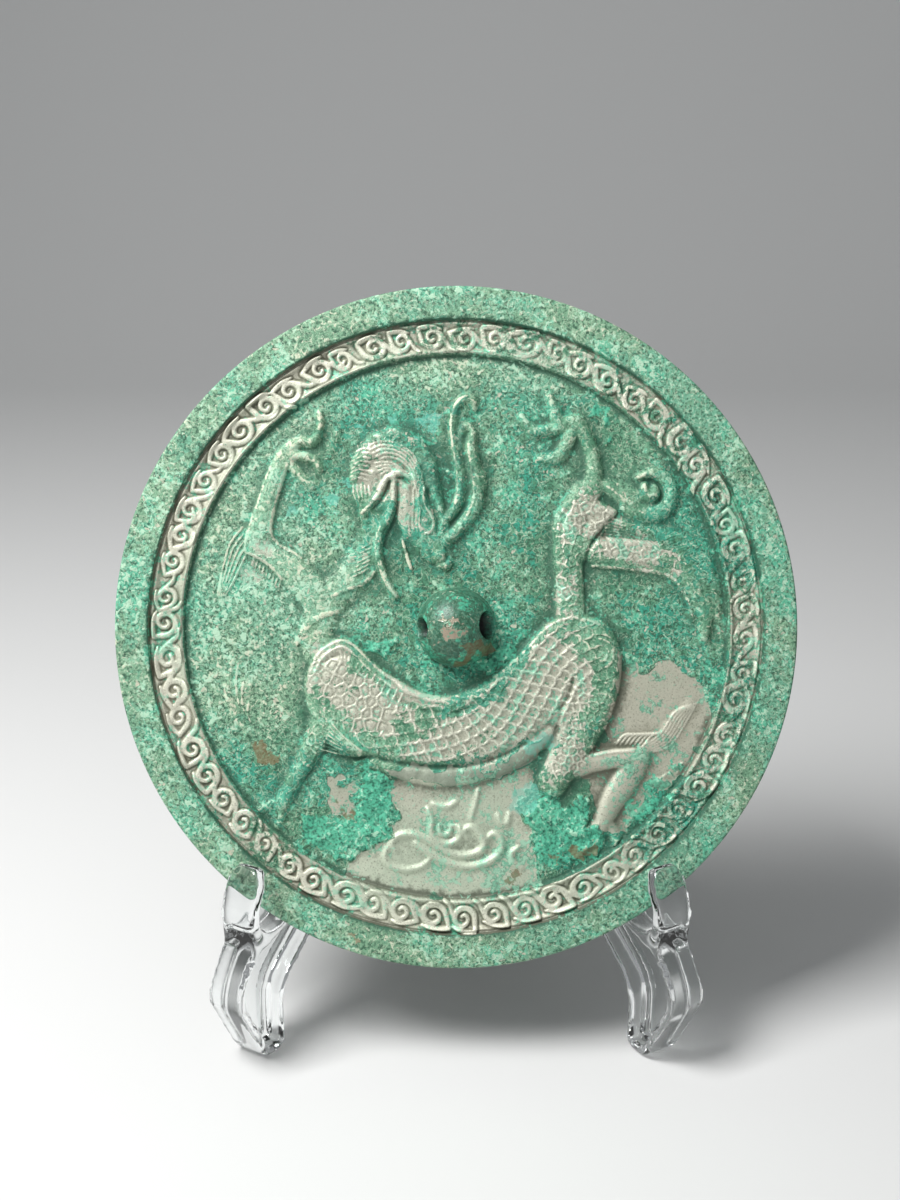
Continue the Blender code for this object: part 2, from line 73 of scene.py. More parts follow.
# The fineness of the turned disc
TURN_STEPS = 1800
RING_STEP = 0.3
BACK_RING_STEP = 2.0
MIRROR_TRIANGLES = 194_000

# The scrolls of the band, drawn round the middle of one repeat: clockwise, then outwards
SCROLL_COUNT = 59
SCROLL_RADIUS = 85.0
SCROLL_HEIGHT = 0.6
SCROLL_OUTLINE = 0.5
SCROLL = {
    "curl": [(-4.1, 3.0, 0.7), (-3.6, 0.8, 0.85), (-2.8, -1.5, 0.95), (-0.8, -2.8, 0.95), (1.6, -2.4, 0.95),
             (2.8, -0.5, 0.95), (2.2, 1.5, 0.9), (0.4, 2.3, 0.8), (-1.1, 1.4, 0.7), (-1.3, -0.1, 0.65),
             (-0.2, -1.0, 0.6), (0.7, -0.4, 0.55)],
    "tail": [(2.4, 1.8, 0.6), (3.8, -0.4, 0.75), (5.2, -2.4, 0.75), (7.2, -3.3, 0.6)],
    "cap": [(-4.1, 3.0, 0.7), (-2.2, 3.3, 0.75), (0.5, 3.4, 0.65), (2.8, 2.9, 0.4)],
}

# Broad forms of the figure: height above the field, width of the rounded edge and outline
BODY = (2.2, 3.4, [(-43.4, -12), (-41.6, -8), (-38.4, -5), (-33.8, -3), (-29.4, -4.8), (-24.6, -9.6),
                   (-21, -12.6), (-17.5, -15), (-11, -18.4), (-4.5, -20), (2, -19), (9.4, -15.6),
                   (14, -11.8), (19, -7), (24, -1), (29, 2.8), (35, 4), (42, 2.4), (46.6, -2), (48.6, -8),
                   (48.6, -14), (47.6, -20), (44.8, -27), (41, -34), (37, -40.5), (33.5, -46), (30, -50),
                   (25.5, -48.5), (24, -44), (26.6, -37), (28.6, -31), (27.6, -29), (22, -33.4), (14, -37.4),
                   (5, -40.4), (-5, -41), (-15, -40.2), (-24, -38.4), (-33, -37.4), (-39, -33), (-42, -28),
                   (-44.4, -21), (-44.4, -15)])
HEAD = (1.5, 4.5, [(-31, 41), (-31.4, 46), (-30.2, 50.5), (-27.4, 54.4), (-23.7, 57), (-17.2, 58.6),
                   (-12, 56), (-8.1, 51.1), (-6.2, 44), (-4.9, 38.8), (-3, 35), (-1.6, 30), (-2, 25),
                   (-1.4, 20), (-3, 17.4), (-7, 17.6), (-10, 20), (-13, 24), (-16, 28), (-19, 32),
                   (-23, 33.6), (-27, 33), (-29.6, 36)])

# Other forms of the figure: height above the field, then rows of x, y and half width
FORMS = {
    "head cap": (2.0, [(-24, 55.4, 1.6), (-17.4, 57, 2.2), (-11.4, 53.4, 2.6), (-8, 47, 2.6),
                       (-6.4, 40, 2.2), (-4.6, 34, 1.4)]),
    "far knee": (1.9, [(35, 35, 4), (40.6, 34.6, 3.2), (46.4, 33.6, 1)]),
    "cheek": (1.9, [(-14.4, 41.6, 2), (-14.4, 36, 2.6), (-14.4, 31, 2.6), (-14, 27, 1.8)]),
    "face": (2.1, [(-10.8, 41, 1.8), (-10.4, 36, 2.6), (-9.4, 31.6, 3), (-9, 28, 2.8)]),
    "small lock": (2.0, [(-20.6, 41.6, 1.3), (-22.4, 38, 1.5), (-25, 35, 1.5), (-27.6, 32, 1)]),
    "horn web": (0.8, [(0.6, 36, 2), (3, 41, 2.6), (3, 48, 2.6), (2, 54, 2.2), (1.4, 60, 1.8),
                       (2.4, 64, 1.8)]),
    "shoulder": (2.5, [(-36, -13, 6.5), (-34, -18, 8), (-28, -25, 8)]),
    "haunch": (2.6, [(36, -8, 10), (39, -19, 8.5), (37, -29, 6.5), (33, -38, 5), (29, -45, 4)]),
    "belly": (1.6, [(-24, -40, 1.8), (-14, -42.7, 2.8), (-3, -43.9, 3.2), (8, -42, 3.2), (18, -37.6, 3.2),
                    (25, -32.6, 3.2), (29, -29, 3)]),
    "neck": (1.3, [(-40, -8, 5), (-41, 1, 5), (-37, 8, 5), (-31, 14, 5), (-26, 22, 5), (-23, 30, 5)]),
    "shin": (1.8, [(33, -41, 4.5), (40, -39.7, 3.2), (48, -38.7, 3), (54, -38.3, 3)]),
    "hind foot": (1.7, [(54, -38.3, 3.2), (50.5, -44, 4), (45.5, -52, 3.4), (42.5, -59, 2.4)]),
    "hind toe front": (0.9, [(43, -57, 2), (38, -60.5, 1.5), (33.5, -60, 0.9)]),
    "hind toe middle": (0.9, [(42.5, -58, 2), (41, -63, 1.5), (37.5, -65.5, 0.9)]),
    "hind toe rear": (0.9, [(44, -57, 2), (47, -62, 1.5), (46.5, -66, 0.9)]),
    "far thigh": (2.0, [(34, 2, 5.5), (33.5, 12, 4.6), (33, 22, 4.8), (34, 31, 5.4), (38, 39, 4.4)]),
    "far heel": (1.6, [(37, 24, 2.5), (41, 30, 3.4), (46, 33.3, 1.4)]),
    "far shin": (2.0, [(40, 40, 3.4), (40.6, 47, 2.4), (39, 54, 2.3), (35.5, 60.5, 2.2)]),
    "far toe front": (2.0, [(35.5, 60, 2.2), (33, 55, 2.2), (30, 50, 2.1), (24.5, 49.4, 1.2)]),
    "far toe middle": (2.0, [(35, 60.5, 2.2), (28, 58, 2.1), (22.5, 57.6, 1.9), (19, 62, 1.1)]),
    "far toe rear": (2.0, [(35, 60.5, 2.2), (30.4, 60, 2), (28.8, 64, 1.8), (27.4, 68, 1)]),
    "tail": (1.6, [(34, 23, 3.4), (44, 22, 4.6), (55, 21, 4.8), (64, 19, 4.5), (70, 13, 4), (73, 5, 3.2),
                   (73, -3, 1.5)]),
    "tail fin": (0.8, [(48, 31, 1.5), (57, 28, 2.5), (66, 25.5, 2.4), (73, 19, 2.3), (76, 10, 1.8),
                       (77, 2, 0.9)]),
    "tail tuft": (1.1, [(44, 41.5, 2), (50, 38.5, 3.4), (57, 35.5, 2.6)]),
    "crown": (2.1, [(-29, 44, 2.5), (-28, 48, 3), (-24, 51, 3.6), (-18.5, 52, 3.6), (-14, 49.5, 3.4),
                    (-11.6, 45, 3), (-10, 40, 2.8), (-8.6, 35, 2.6), (-8, 31, 2.4)]),
    "muzzle": (2.0, [(-8, 26, 3.6), (-6, 21.6, 3.2), (-3, 18.8, 2.2)]),
    "lock": (2.4, [(-18, 43.4, 1.2), (-18.1, 37, 1.3), (-19.7, 32.3, 1.4), (-22, 28, 1.5),
                   (-22.9, 23.2, 1.5), (-22, 18, 1.4), (-19.6, 12.1, 1.2), (-17.4, 8.9, 0.7)]),
    "raised forearm": (1.8, [(-57.8, 26, 4.4), (-57, 31, 3.4), (-55.6, 36.4, 2.9), (-53.8, 42, 2.8),
                             (-51.8, 47.6, 2.7)]),
    "raised upper arm": (1.6, [(-58.5, 23.6, 3.4), (-53.5, 20.6, 3.6), (-48.6, 16.6, 4.6), (-43, 11, 5),
                               (-40, 7, 5)]),
    "raised toe front": (1.8, [(-51, 50, 2.6), (-48.6, 52.8, 1.9), (-45.5, 54.4, 1.6), (-42.4, 54.2, 1.5),
                               (-40.6, 56.5, 1.4), (-39.8, 60, 1.3), (-40.2, 63, 0.9)]),
    "raised toe middle": (1.8, [(-50, 49.5, 2.4), (-47.2, 50.4, 1.7), (-43.7, 49.8, 1.4),
                                (-41.6, 48.8, 1.2), (-39.9, 46.4, 0.8)]),
    "raised toe rear": (1.8, [(-50, 48, 2.2), (-47.9, 46.8, 1.5), (-45.4, 44, 1.3), (-42.3, 41.3, 1.3)]),
    "raised claw": (0.6, [(-37.4, 49.5, 1), (-36, 54, 1.4), (-34.6, 57.5, 0.9)]),
    "low foreleg": (1.6, [(-39, -28, 4.5), (-43, -37, 3.3), (-47.5, -45, 2.6), (-51.5, -53, 2.1)]),
    "low toe front": (0.9, [(-51, -52, 2), (-57, -53, 1.4), (-60, -57, 0.8)]),
    "low toe rear": (0.9, [(-51, -52, 2), (-52, -58, 1.4), (-56, -62, 0.8)]),
    "heel hair": (0.3, [(54, -36.5, 1.6), (60, -33, 2.6), (65, -27, 2.6), (69, -22, 1.4)]),
    "first horn": (2.1, [(-3.6, 31, 1.2), (-0.3, 34.9, 1.6), (1.4, 40.7, 1.7), (0.9, 47.2, 1.6),
                         (-0.4, 53.7, 1.5), (-1, 60.2, 1.5), (0.3, 64.8, 1.5), (2.6, 67.2, 1.5),
                         (4.9, 66.1, 1.4), (5.5, 64, 0.9)]),
    "second horn": (2.3, [(-2.9, 25.1, 1.5), (1.6, 29.7, 2), (5.3, 34.9, 2.2), (6.4, 40, 2.2),
                          (5.4, 47.2, 2), (4.4, 53.1, 1.8), (5, 56.8, 1.2)]),
    "horn leaf": (1.8, [(1.5, 52.5, 0.9), (1.5, 57, 1.2), (3.2, 59.2, 1.3), (4.9, 57.4, 1)]),
    "horn plume": (1.4, [(-3, 46, 0.5), (-1.4, 45, 0.8), (0.6, 43.8, 0.8)]),
    "horn spike": (1.4, [(7.8, 38.8, 0.8), (8.1, 42, 1), (7.8, 45.6, 0.7)]),
    "cloud outer": (1.0, [(9.3, -62, 0.5), (11, -60.8, 0.8), (13, -61.8, 0.9), (13.6, -64.5, 1),
                          (12, -67.4, 1.1), (8.5, -69.6, 1.2), (3.5, -70.6, 1.2), (-2, -69.5, 1.2),
                          (-7, -66.8, 1.1), (-12, -63.5, 0.8)]),
    "cloud inner": (1.0, [(3.5, -62, 0.5), (2, -60.5, 0.9), (4.3, -58.9, 1), (7.2, -61, 1.1),
                          (8.3, -63.5, 1.1), (7, -66, 1.1), (3, -67.3, 1.1), (-1, -66.8, 1.1),
                          (-5, -64.8, 1.1), (-9, -62.3, 1.1), (-13, -61, 1.1), (-17, -61.5, 1),
                          (-19, -63.8, 0.9), (-17.5, -66, 0.6)]),
    "cloud left": (0.9, [(-19.5, -64, 0.6), (-21, -67, 0.9), (-19.5, -70, 1), (-15, -71.5, 1),
                         (-10, -70.5, 0.9), (-7.5, -68, 0.6)]),
    "cloud head": (1.1, [(-8.4, -53.4, 0.6), (-7, -57, 0.9), (-7.5, -60, 1), (-5.5, -63, 1),
                         (-2, -63.8, 1), (1, -62, 1), (1, -59, 0.8)]),
    "cloud heart": (1.1, [(-5, -58.5, 0.6), (-4.6, -60.8, 0.8), (-2.4, -61, 0.8), (-1.6, -59.4, 0.7)]),
    "cloud dash": (0.9, [(-7, -52, 0.6), (-3, -53, 0.9), (0, -51.5, 0.7)]),
    "cloud flame": (0.8, [(6.5, -48, 0.6), (5.6, -52, 0.9), (4.3, -56.5, 0.7)]),
    "cloud cup": (0.9, [(12.3, -55.5, 0.7), (13, -57.3, 1), (15, -57.8, 1), (15.6, -55, 0.7)]),
    "cloud comma": (0.9, [(18.3, -64.8, 0.6), (16.2, -66.8, 1), (16.8, -69.3, 1), (19.5, -71, 0.6)]),
    "left cloud": (0.7, [(-66, -10, 0.8), (-67, -18, 1.2), (-66, -25, 1.1), (-62, -30, 0.9)]),
    "left hook": (0.6, [(-65, -27, 0.7), (-63, -28, 0.9), (-61.5, -31, 0.9), (-62.5, -33.5, 0.6)]),
    "tuft ring": (1.7, [(53.6, 44, 0.8), (57.8, 45.2, 1.8), (61.4, 43.2, 2.4), (63, 39.4, 2.6),
                        (61.8, 35.2, 2.7), (58, 33, 2.6), (53.6, 33, 2.1), (49.4, 35, 1.2)]),
    "tuft curl": (2.1, [(55.4, 41.6, 1), (55.6, 39.4, 1.6), (57.2, 38.4, 1.8), (58.6, 39.4, 1.6),
                        (58.2, 41, 1)]),
}
BUMPS = {
    "eye": (2.7, -9.2, 31, 1.5), "nose": (2.9, -4.6, 21.2, 1.9), "ear": (2.3, -24.4, 45.3, 1.3),
    "beard high": (2.1, -27.4, 33.6, 1.3), "beard middle": (2.0, -26.2, 31, 1.2),
    "beard low": (1.7, -27, 28.4, 1.2),
    "left curl": (0.7, -62, -18, 2.8), "field lump": (0.9, -42, 41, 2.2), "low paw": (1.2, -50.5, -50, 2.8),
}

# Narrow ridges on top of the forms: how much each adds, then rows of x, y and half width
RIDGES = {
    "first leaf": (0.5, [(-18, -15.4, 0.5), (-14.5, -18.4, 1.2), (-10.5, -20.4, 0.5)]),
    "second leaf": (0.5, [(-12, -18.8, 0.5), (-8.6, -20.8, 1.2), (-4.6, -21.8, 0.5)]),
    "third leaf": (0.5, [(-6.2, -20.4, 0.5), (-2.6, -21.8, 1.2), (1.6, -21.8, 0.5)]),
    "fourth leaf": (0.5, [(0, -20.4, 0.5), (3.6, -21, 1.2), (7.6, -19.8, 0.5)]),
    "fifth leaf": (0.5, [(6, -19, 0.5), (9.4, -17.9, 1.1), (12.4, -15.2, 0.5)]),
    "cheek line": (0.35, [(-14, 43.6, 0.35), (-12.8, 41.6, 0.4), (-12.6, 36.2, 0.45), (-13.8, 31, 0.45),
                          (-13.5, 26.4, 0.35)]),
    "eye line": (0.55, [(-9.4, 41, 0.35), (-9.4, 37, 0.45), (-8.7, 34.6, 0.5), (-7.3, 33, 0.5),
                        (-6.6, 30.3, 0.5), (-7.5, 28, 0.45), (-9.2, 27.4, 0.35)]),
    "eye inner line": (0.4, [(-10.6, 36.4, 0.3), (-10.8, 33, 0.4), (-11, 30, 0.4), (-9.8, 28.6, 0.35)]),
    "lock line": (0.35, [(-18.9, 42, 0.35), (-18.9, 37.5, 0.4), (-20.6, 32.9, 0.4), (-22.9, 28.4, 0.45),
                         (-23.8, 23.2, 0.45), (-22.9, 18, 0.4), (-20.5, 12.1, 0.35)]),
    "forearm left": (0.4, [(-54.4, 47.6, 0.4), (-56.6, 42, 0.45), (-58.4, 36.4, 0.45),
                           (-60.4, 30.8, 0.45), (-62, 25.2, 0.45), (-62, 22, 0.4)]),
    "forearm right": (0.5, [(-49.6, 47.6, 0.4), (-51.3, 42, 0.5), (-53, 36.4, 0.5), (-54.2, 30.8, 0.5),
                            (-54.2, 27.3, 0.55), (-52.4, 24.5, 0.6), (-48.8, 22.4, 0.6),
                            (-45.6, 20.4, 0.5)]),
    "arm low edge": (0.6, [(-62, 21.9, 0.4), (-59.8, 21.1, 0.5), (-56.3, 19.2, 0.6), (-53.5, 16.8, 0.6),
                           (-51.4, 14.3, 0.5)]),
    "back outer": (0.5, [(-42.8, -13, 0.4), (-41, -8.6, 0.5), (-38, -5.8, 0.5), (-33.8, -3.9, 0.55),
                         (-29.8, -5.6, 0.5), (-25.2, -10.2, 0.5), (-21.4, -13.4, 0.5),
                         (-17.8, -15.8, 0.5), (-11.4, -19.2, 0.45), (-4.5, -20.8, 0.4)]),
    "back inner": (0.4, [(-41.4, -13.4, 0.3), (-39.6, -9.6, 0.4), (-37, -7.2, 0.4), (-33.8, -5.8, 0.4),
                         (-30.6, -7.2, 0.4), (-26.4, -11.6, 0.4), (-22, -15.4, 0.4), (-18, -18, 0.3)]),
    "back right": (0.4, [(11, -14.8, 0.4), (16, -10.8, 0.5), (21.4, -5.6, 0.5), (26, -0.6, 0.5),
                         (31, 2.2, 0.5), (37, 2.4, 0.5), (42, 0.8, 0.4)]),
    "brow": (0.7, [(-27.6, 33.6, 0.6), (-23.7, 38.1, 0.9), (-21.1, 42.7, 1), (-18.5, 44.6, 1.1),
                   (-15.3, 45, 1), (-12.7, 43.3, 0.9), (-12, 40.7, 0.6)]),
    "chin": (0.9, [(-15.9, 25.8, 0.5), (-14.8, 21.6, 0.8), (-13.3, 17.3, 0.7)]),
    "first horn line": (0.35, [(-0.3, 36, 0.4), (0.2, 42, 0.5), (-0.2, 48, 0.5), (-1.4, 55, 0.5),
                               (-1.5, 61, 0.5), (0, 66, 0.5), (3, 68, 0.4)]),
    "second horn line": (0.35, [(2.4, 31.6, 0.4), (4.6, 36, 0.6), (5, 41, 0.6), (4, 48, 0.5),
                                (3.4, 53.6, 0.4)]),
    "neck edge": (0.5, [(-24, 16, 0.6), (-27.1, 12.9, 0.8), (-31.6, 11.1, 0.8), (-36, 9.3, 0.6)]),
    "shoulder arc": (0.5, [(-47, -5, 0.8), (-44, 0, 1.3), (-40, 3, 1.1), (-35, 4.4, 0.8)]),
    "tail edge": (0.6, [(40, 17.9, 0.6), (48, 17.2, 0.7), (56, 16.4, 0.7), (63, 14.6, 0.7),
                        (67.5, 9, 0.7), (69.6, 3, 0.6)]),
    "shin edge": (0.4, [(41, -37.4, 0.5), (46, -36.4, 0.6), (52, -36, 0.6)]),
    "cloud bar": (0.3, [(-2.4, -58.5, 0.5), (0.2, -58.4, 0.5)]),
}
GROOVES = {
    "nostril": (0.8, [(-7.2, 21.4, 0.4), (-6.8, 19.4, 0.5), (-4.8, 18.6, 0.5), (-2.9, 19.4, 0.5),
                      (-2.3, 21.4, 0.5), (-3.2, 23.2, 0.4)]),
    "far leg": (0.8, [(47.4, 33.4, 0.4), (43.4, 29.2, 0.5), (38.9, 22.4, 0.6), (38, 14, 0.6),
                      (38, 4, 0.4)]),
    "under back": (0.5, [(-39, -10.4, 0.5), (-34, -8, 0.8), (-30, -9.4, 1.1), (-25, -14, 1.3),
                         (-18, -20, 1.3), (-10, -24.4, 1), (0, -25, 0.8), (8, -22, 0.6)]),
    "hip": (0.5, [(30, -25, 0.5), (33, -20, 0.7), (34.6, -14, 0.5)]),
    "over belly": (0.4, [(-24, -38.6, 0.4), (-15, -40.6, 0.6), (-5, -41.4, 0.6), (5, -40.8, 0.6),
                         (14, -37.8, 0.6), (21, -34.2, 0.4)]),
    "behind haunch": (0.5, [(31, -25, 0.5), (29.3, -31, 0.8), (26.8, -37, 0.7), (24.2, -43, 0.4)]),
    "mane": (0.9, [(-17.2, 42.4, 0.4), (-17.2, 36.4, 0.6), (-18, 31.6, 0.7), (-20.2, 27.2, 0.8),
                   (-21.1, 22.6, 0.8), (-20.2, 17, 0.7), (-18.2, 13, 0.4)]),
    "arch hollow": (1.0, [(-24.6, 34.6, 0.5), (-22, 37.4, 0.7), (-20.2, 40.6, 0.8), (-19.6, 43, 0.5)]),
    "arch inner": (0.7, [(-17.4, 43.8, 0.4), (-15.6, 43.6, 0.5), (-14, 42.4, 0.5)]),
    "cheek": (0.3, [(-12.9, 41, 0.3), (-12.5, 36, 0.4), (-13.6, 30.6, 0.4), (-13.4, 26, 0.3)]),
    "face": (0.7, [(-8, 40.6, 0.4), (-7.8, 37, 0.6), (-6.4, 34.4, 0.7), (-5.2, 31, 0.7),
                   (-5.6, 27.4, 0.5)]),
    "mouth": (0.9, [(-9.6, 19.4, 0.6), (-7.8, 18, 0.9), (-5.6, 18.2, 0.5)]),
    "far knee": (0.6, [(31, 28.6, 0.6), (31.4, 32, 1), (33.4, 35.4, 0.7)]),
    "low foreleg": (0.9, [(-41, -41, 0.5), (-43, -43.5, 0.8), (-45, -46, 0.5)]),
    "tuft hollow": (0.6, [(55, 43.4, 0.4), (58.4, 43, 0.7), (60.4, 40.8, 0.8), (60.2, 37.6, 0.8),
                          (57.6, 36, 0.7), (54.6, 36.6, 0.5)]),
}

# Hair, fins and folds: how many lines, their half width and height, and the first and last line
HAIR = {
    "mane inner": (4, 0.34, 0.42, [(-24, 48), (-21, 48.4), (-18, 47.8), (-15.4, 46)],
                   [(-22.6, 44.4), (-20.6, 45.6), (-18.4, 45.8), (-16, 45)]),
    "crown fringe left": (6, 0.32, 0.35, [(-26.4, 52), (-27.6, 54)], [(-19.6, 54), (-19.4, 56.4)]),
    "crown fringe right": (7, 0.32, 0.35, [(-18.4, 54), (-18, 56.4)], [(-12, 50), (-10.2, 51.6)]),
    "back hatch": (7, 0.34, 0.4, [(-34, -6.6), (-33.4, -9.4)], [(-26, -12), (-27.6, -14.2)]),
    "back hatch low": (7, 0.34, 0.4, [(-25.4, -12.8), (-26.8, -15.4)], [(-15.6, -19.4), (-16.8, -22.2)]),
    "back flames right": (7, 0.6, 0.4, [(12, -14.6), (11.6, -16.4), (10.4, -17.8)],
                          [(24, -3.2), (24, -5.4), (23, -7)]),
    "thigh fringe": (14, 0.32, 0.4, [(46.8, -8), (48.2, -9)], [(41.6, -30), (43, -31.4)]),
    "shoulder fan": (8, 0.38, 0.8, [(-39.6, -36), (-34, -37.4), (-28, -38)],
                     [(-36.4, -28.2), (-33, -32), (-27.3, -36.2)]),
    "mane top": (5, 0.36, 0.5, [(-26.4, 52.6), (-22.6, 54.4), (-17.6, 54), (-13.6, 51.6), (-11, 47.6),
                                (-9.8, 43), (-9, 39)],
                 [(-22.6, 49), (-20.4, 49.8), (-17.4, 49.4), (-14.6, 47.4), (-12.8, 44.6), (-11.8, 41.4),
                  (-11.4, 38)]),
    "mane side": (8, 0.34, 0.5, [(-31, 50.6), (-28, 52.2), (-24.8, 52.2)],
                  [(-31.6, 42.8), (-28.6, 43.8), (-25.6, 43)]),
    "mane low": (5, 0.34, 0.55, [(-30.2, 42), (-30.2, 39.6), (-29.4, 37)],
                 [(-25.6, 41.4), (-25.4, 39.6), (-25.2, 38)]),
    "face": (3, 0.3, 0.36, [(-12.6, 41), (-12.4, 36), (-12.8, 31), (-12.2, 27)],
             [(-9.8, 41), (-9.8, 37), (-10.8, 32), (-10.6, 28)]),
    "chest hair": (7, 0.36, 0.6, [(-24.6, 24.6), (-28, 23)], [(-25.6, 17.2), (-30, 14.8)]),
    "elbow hair": (5, 0.34, 0.65, [(-62.8, 29.4), (-66.4, 24.6), (-68.4, 18), (-70.2, 9.4)],
                   [(-61.8, 21.4), (-63, 18.8), (-65, 14.4), (-68, 9)]),
    "arm hair": (9, 0.32, 0.55, [(-59.4, 20.6), (-60, 18)], [(-51.4, 14), (-52.2, 11.6)]),
    "tail fin": (15, 0.3, 0.45, [(44, 26.6), (46.6, 24.6)], [(59, 25.6), (61.4, 23.4)]),
    "tail fin mid": (13, 0.28, 0.4, [(60, 25), (63.5, 26.6), (67, 27)],
                     [(70, 18.6), (72.6, 19.4), (75.8, 19.6)]),
    "tail fin end": (16, 0.28, 0.35, [(70.4, 17.8), (73, 18.2), (76, 18)],
                     [(75, 4), (76.5, 3.4), (78, 2)]),
    "heel hair": (6, 0.34, 0.32, [(54, -35.4), (60, -31.6), (64, -25.4), (68, -23)],
                  [(57, -37), (63, -34.8), (67.6, -28), (71, -22)]),
    "ankle hair": (7, 0.3, 0.45, [(47, -34.6), (49.5, -31.8), (53, -31.4)],
                   [(55, -35), (57.5, -32), (60.5, -31)]),
    "far leg hair": (6, 0.3, 0.4, [(45.6, 32), (50, 30.4), (57, 28.6)],
                     [(42.4, 27.4), (48, 27), (56, 26)]),
    "belly fringe": (17, 0.3, 0.3, [(-22, -37), (-20.8, -39)], [(-2, -38.6), (-0.8, -40.6)]),
    "tuft hair": (5, 0.4, 0.5, [(44, 41.4), (48, 38.6), (52, 36.8)], [(46, 40.6), (50, 36), (55, 33.4)]),
    "left cloud hair": (3, 0.4, 0.5, [(-64, -10), (-64.8, -17), (-63.6, -24)],
                        [(-61, -22), (-61.5, -25), (-60.5, -28)]),
}

# Scaly skin: the size of a scale and the spread of each patch, as rows of x, y and half width
SCALE_SIZE = 4.1
SCALE_HEIGHT = 0.55
SCALE_SLANT = math.radians(-22)
SCALY = [(-24, -30, 7), (-16, -31.5, 9), (-8, -32.4, 10), (0, -32.6, 10.5), (8, -31, 10.5), (15, -27, 11),
         (22, -20.5, 12.5), (29, -13, 14), (36, -9, 14), (42, -8, 9)]
NET_LINE = 0.3
NET_HEIGHT = 0.4
NETTED = {
    "far heel": (2.8, [(36, 27, 3), (41, 31.6, 3.8), (45.6, 33.2, 1.6)]),
    "shoulder": (3.4, [(-39, -12, 4.5), (-36, -17, 8), (-30, -22, 9), (-25, -25, 7)]),
    "thigh": (2.5, [(41, -22, 6), (38, -29, 6.5), (34.6, -36, 5.5), (31, -42, 4)]),
    "far thigh": (3.0, [(33, 4, 3.4), (32.6, 14, 3.6), (33, 24, 4), (34.6, 31, 5), (38, 36.4, 4)]),
    "tail": (2.8, [(40, 22.4, 2.6), (50, 22, 2.8), (60, 20.6, 2.8), (66, 17.6, 2.6), (70, 11, 2)]),
    "low foreleg": (2.6, [(-40, -31, 3), (-44, -39, 2)]),
}
BELLY_FOLD_STEP = 5.5


def smooth_line(rows, per_span=5):
    """Rows of a smooth curve through the given rows, whose later columns run along too."""
    rows = np.array(rows, float)
    ends = np.vstack([2 * rows[0] - rows[1], rows, 2 * rows[-1] - rows[-2]])
    t = np.linspace(0, 1, per_span, endpoint=False)[:, None]
    spans = []
    for i in range(len(rows) - 1):
        a, b, c, d = ends[i:i + 4]
        spans.append(b + 0.5 * t * (c - a + t * (2 * a - 5 * b + 4 * c - d + t * (3 * (b - c) + d - a))))
    return np.vstack(spans + [rows[-1:]])


AXIS = np.arange(-MIRROR_RADIUS - 1, MIRROR_RADIUS + 1, MAP_STEP)
MAP_X, MAP_Y = np.meshgrid(AXIS, AXIS)
MAP_RADIUS = np.hypot(MAP_X, MAP_Y)


def closeness(x, y, rows):
    """How near the points are to a line of (x, y, half width) rows: 1 on it, 0 from its half width on."""
    best = np.zeros_like(x)
    for (x0, y0, w0), (x1, y1, w1) in zip(rows[:-1], rows[1:]):
        dx, dy = x1 - x0, y1 - y0
        along = np.clip(((x - x0) * dx + (y - y0) * dy) / (dx * dx + dy * dy), 0, 1)
        away = np.hypot(x - x0 - along * dx, y - y0 - along * dy) / (w0 + along * (w1 - w0))
        best = np.maximum(best, 1 - away ** 2)
    return best


def window(rows):
    """The part of the map that a line of (x, y, half width) rows can reach."""
    reach = rows[:, 2].max()
    first = np.searchsorted(AXIS, rows[:, :2].min(axis=0) - reach)
    last = np.searchsorted(AXIS, rows[:, :2].max(axis=0) + reach)
    return slice(first[1], last[1]), slice(first[0], last[0])


def raise_line(heights, rows, height, roundness=0.6):
    """Lift the map to a rounded ridge along a smooth line of (x, y, half width) rows."""
    rows = smooth_line(rows)
    part = window(rows)
    ridge = height * closeness(MAP_X[part], MAP_Y[part], rows) ** roundness
    heights[part] = np.maximum(heights[part], ridge)


def blurred(values, spread):
    """The map softened by a bell curve of that spread in millimetres."""
    rows, columns = values.shape
    across = np.fft.rfftfreq(columns, MAP_STEP)
    down = np.fft.fftfreq(rows, MAP_STEP)[:, None]
    bell = np.exp(-2 * (math.pi * spread) ** 2 * (across ** 2 + down ** 2))
    return np.fft.irfft2(np.fft.rfft2(values) * bell, s=values.shape)


def grain(size, seed):
    """Even random grain of that size in millimetres, about 0 with a spread of 1."""
    noise = blurred(np.random.default_rng(seed).standard_normal(MAP_X.shape), size)
    return noise / noise.std()


def step(low, high, values):
    """0 below low, 1 above high and a soft climb between them."""
    t = np.clip((values - low) / (high - low), 0, 1)
    return t * t * (3 - 2 * t)


def along_line(x, y, rows):
    """Distance along a line and signed distance from it, in millimetres, for each point."""
    nearest = np.full_like(x, np.inf)
    along, across = np.zeros_like(x), np.zeros_like(x)
    start = 0.0
    for (x0, y0), (x1, y1) in zip(rows[:-1, :2], rows[1:, :2]):
        length = math.hypot(x1 - x0, y1 - y0)
        ux, uy = (x1 - x0) / length, (y1 - y0) / length
        s = np.clip((x - x0) * ux + (y - y0) * uy, 0, length)
        away = np.hypot(x - x0 - s * ux, y - y0 - s * uy)
        side = (y - y0) * ux - (x - x0) * uy
        nearer = away < nearest
        nearest = np.where(nearer, away, nearest)
        along = np.where(nearer, start + s, along)
        across = np.where(nearer, np.copysign(away, side), across)
        start += length
    return along, across


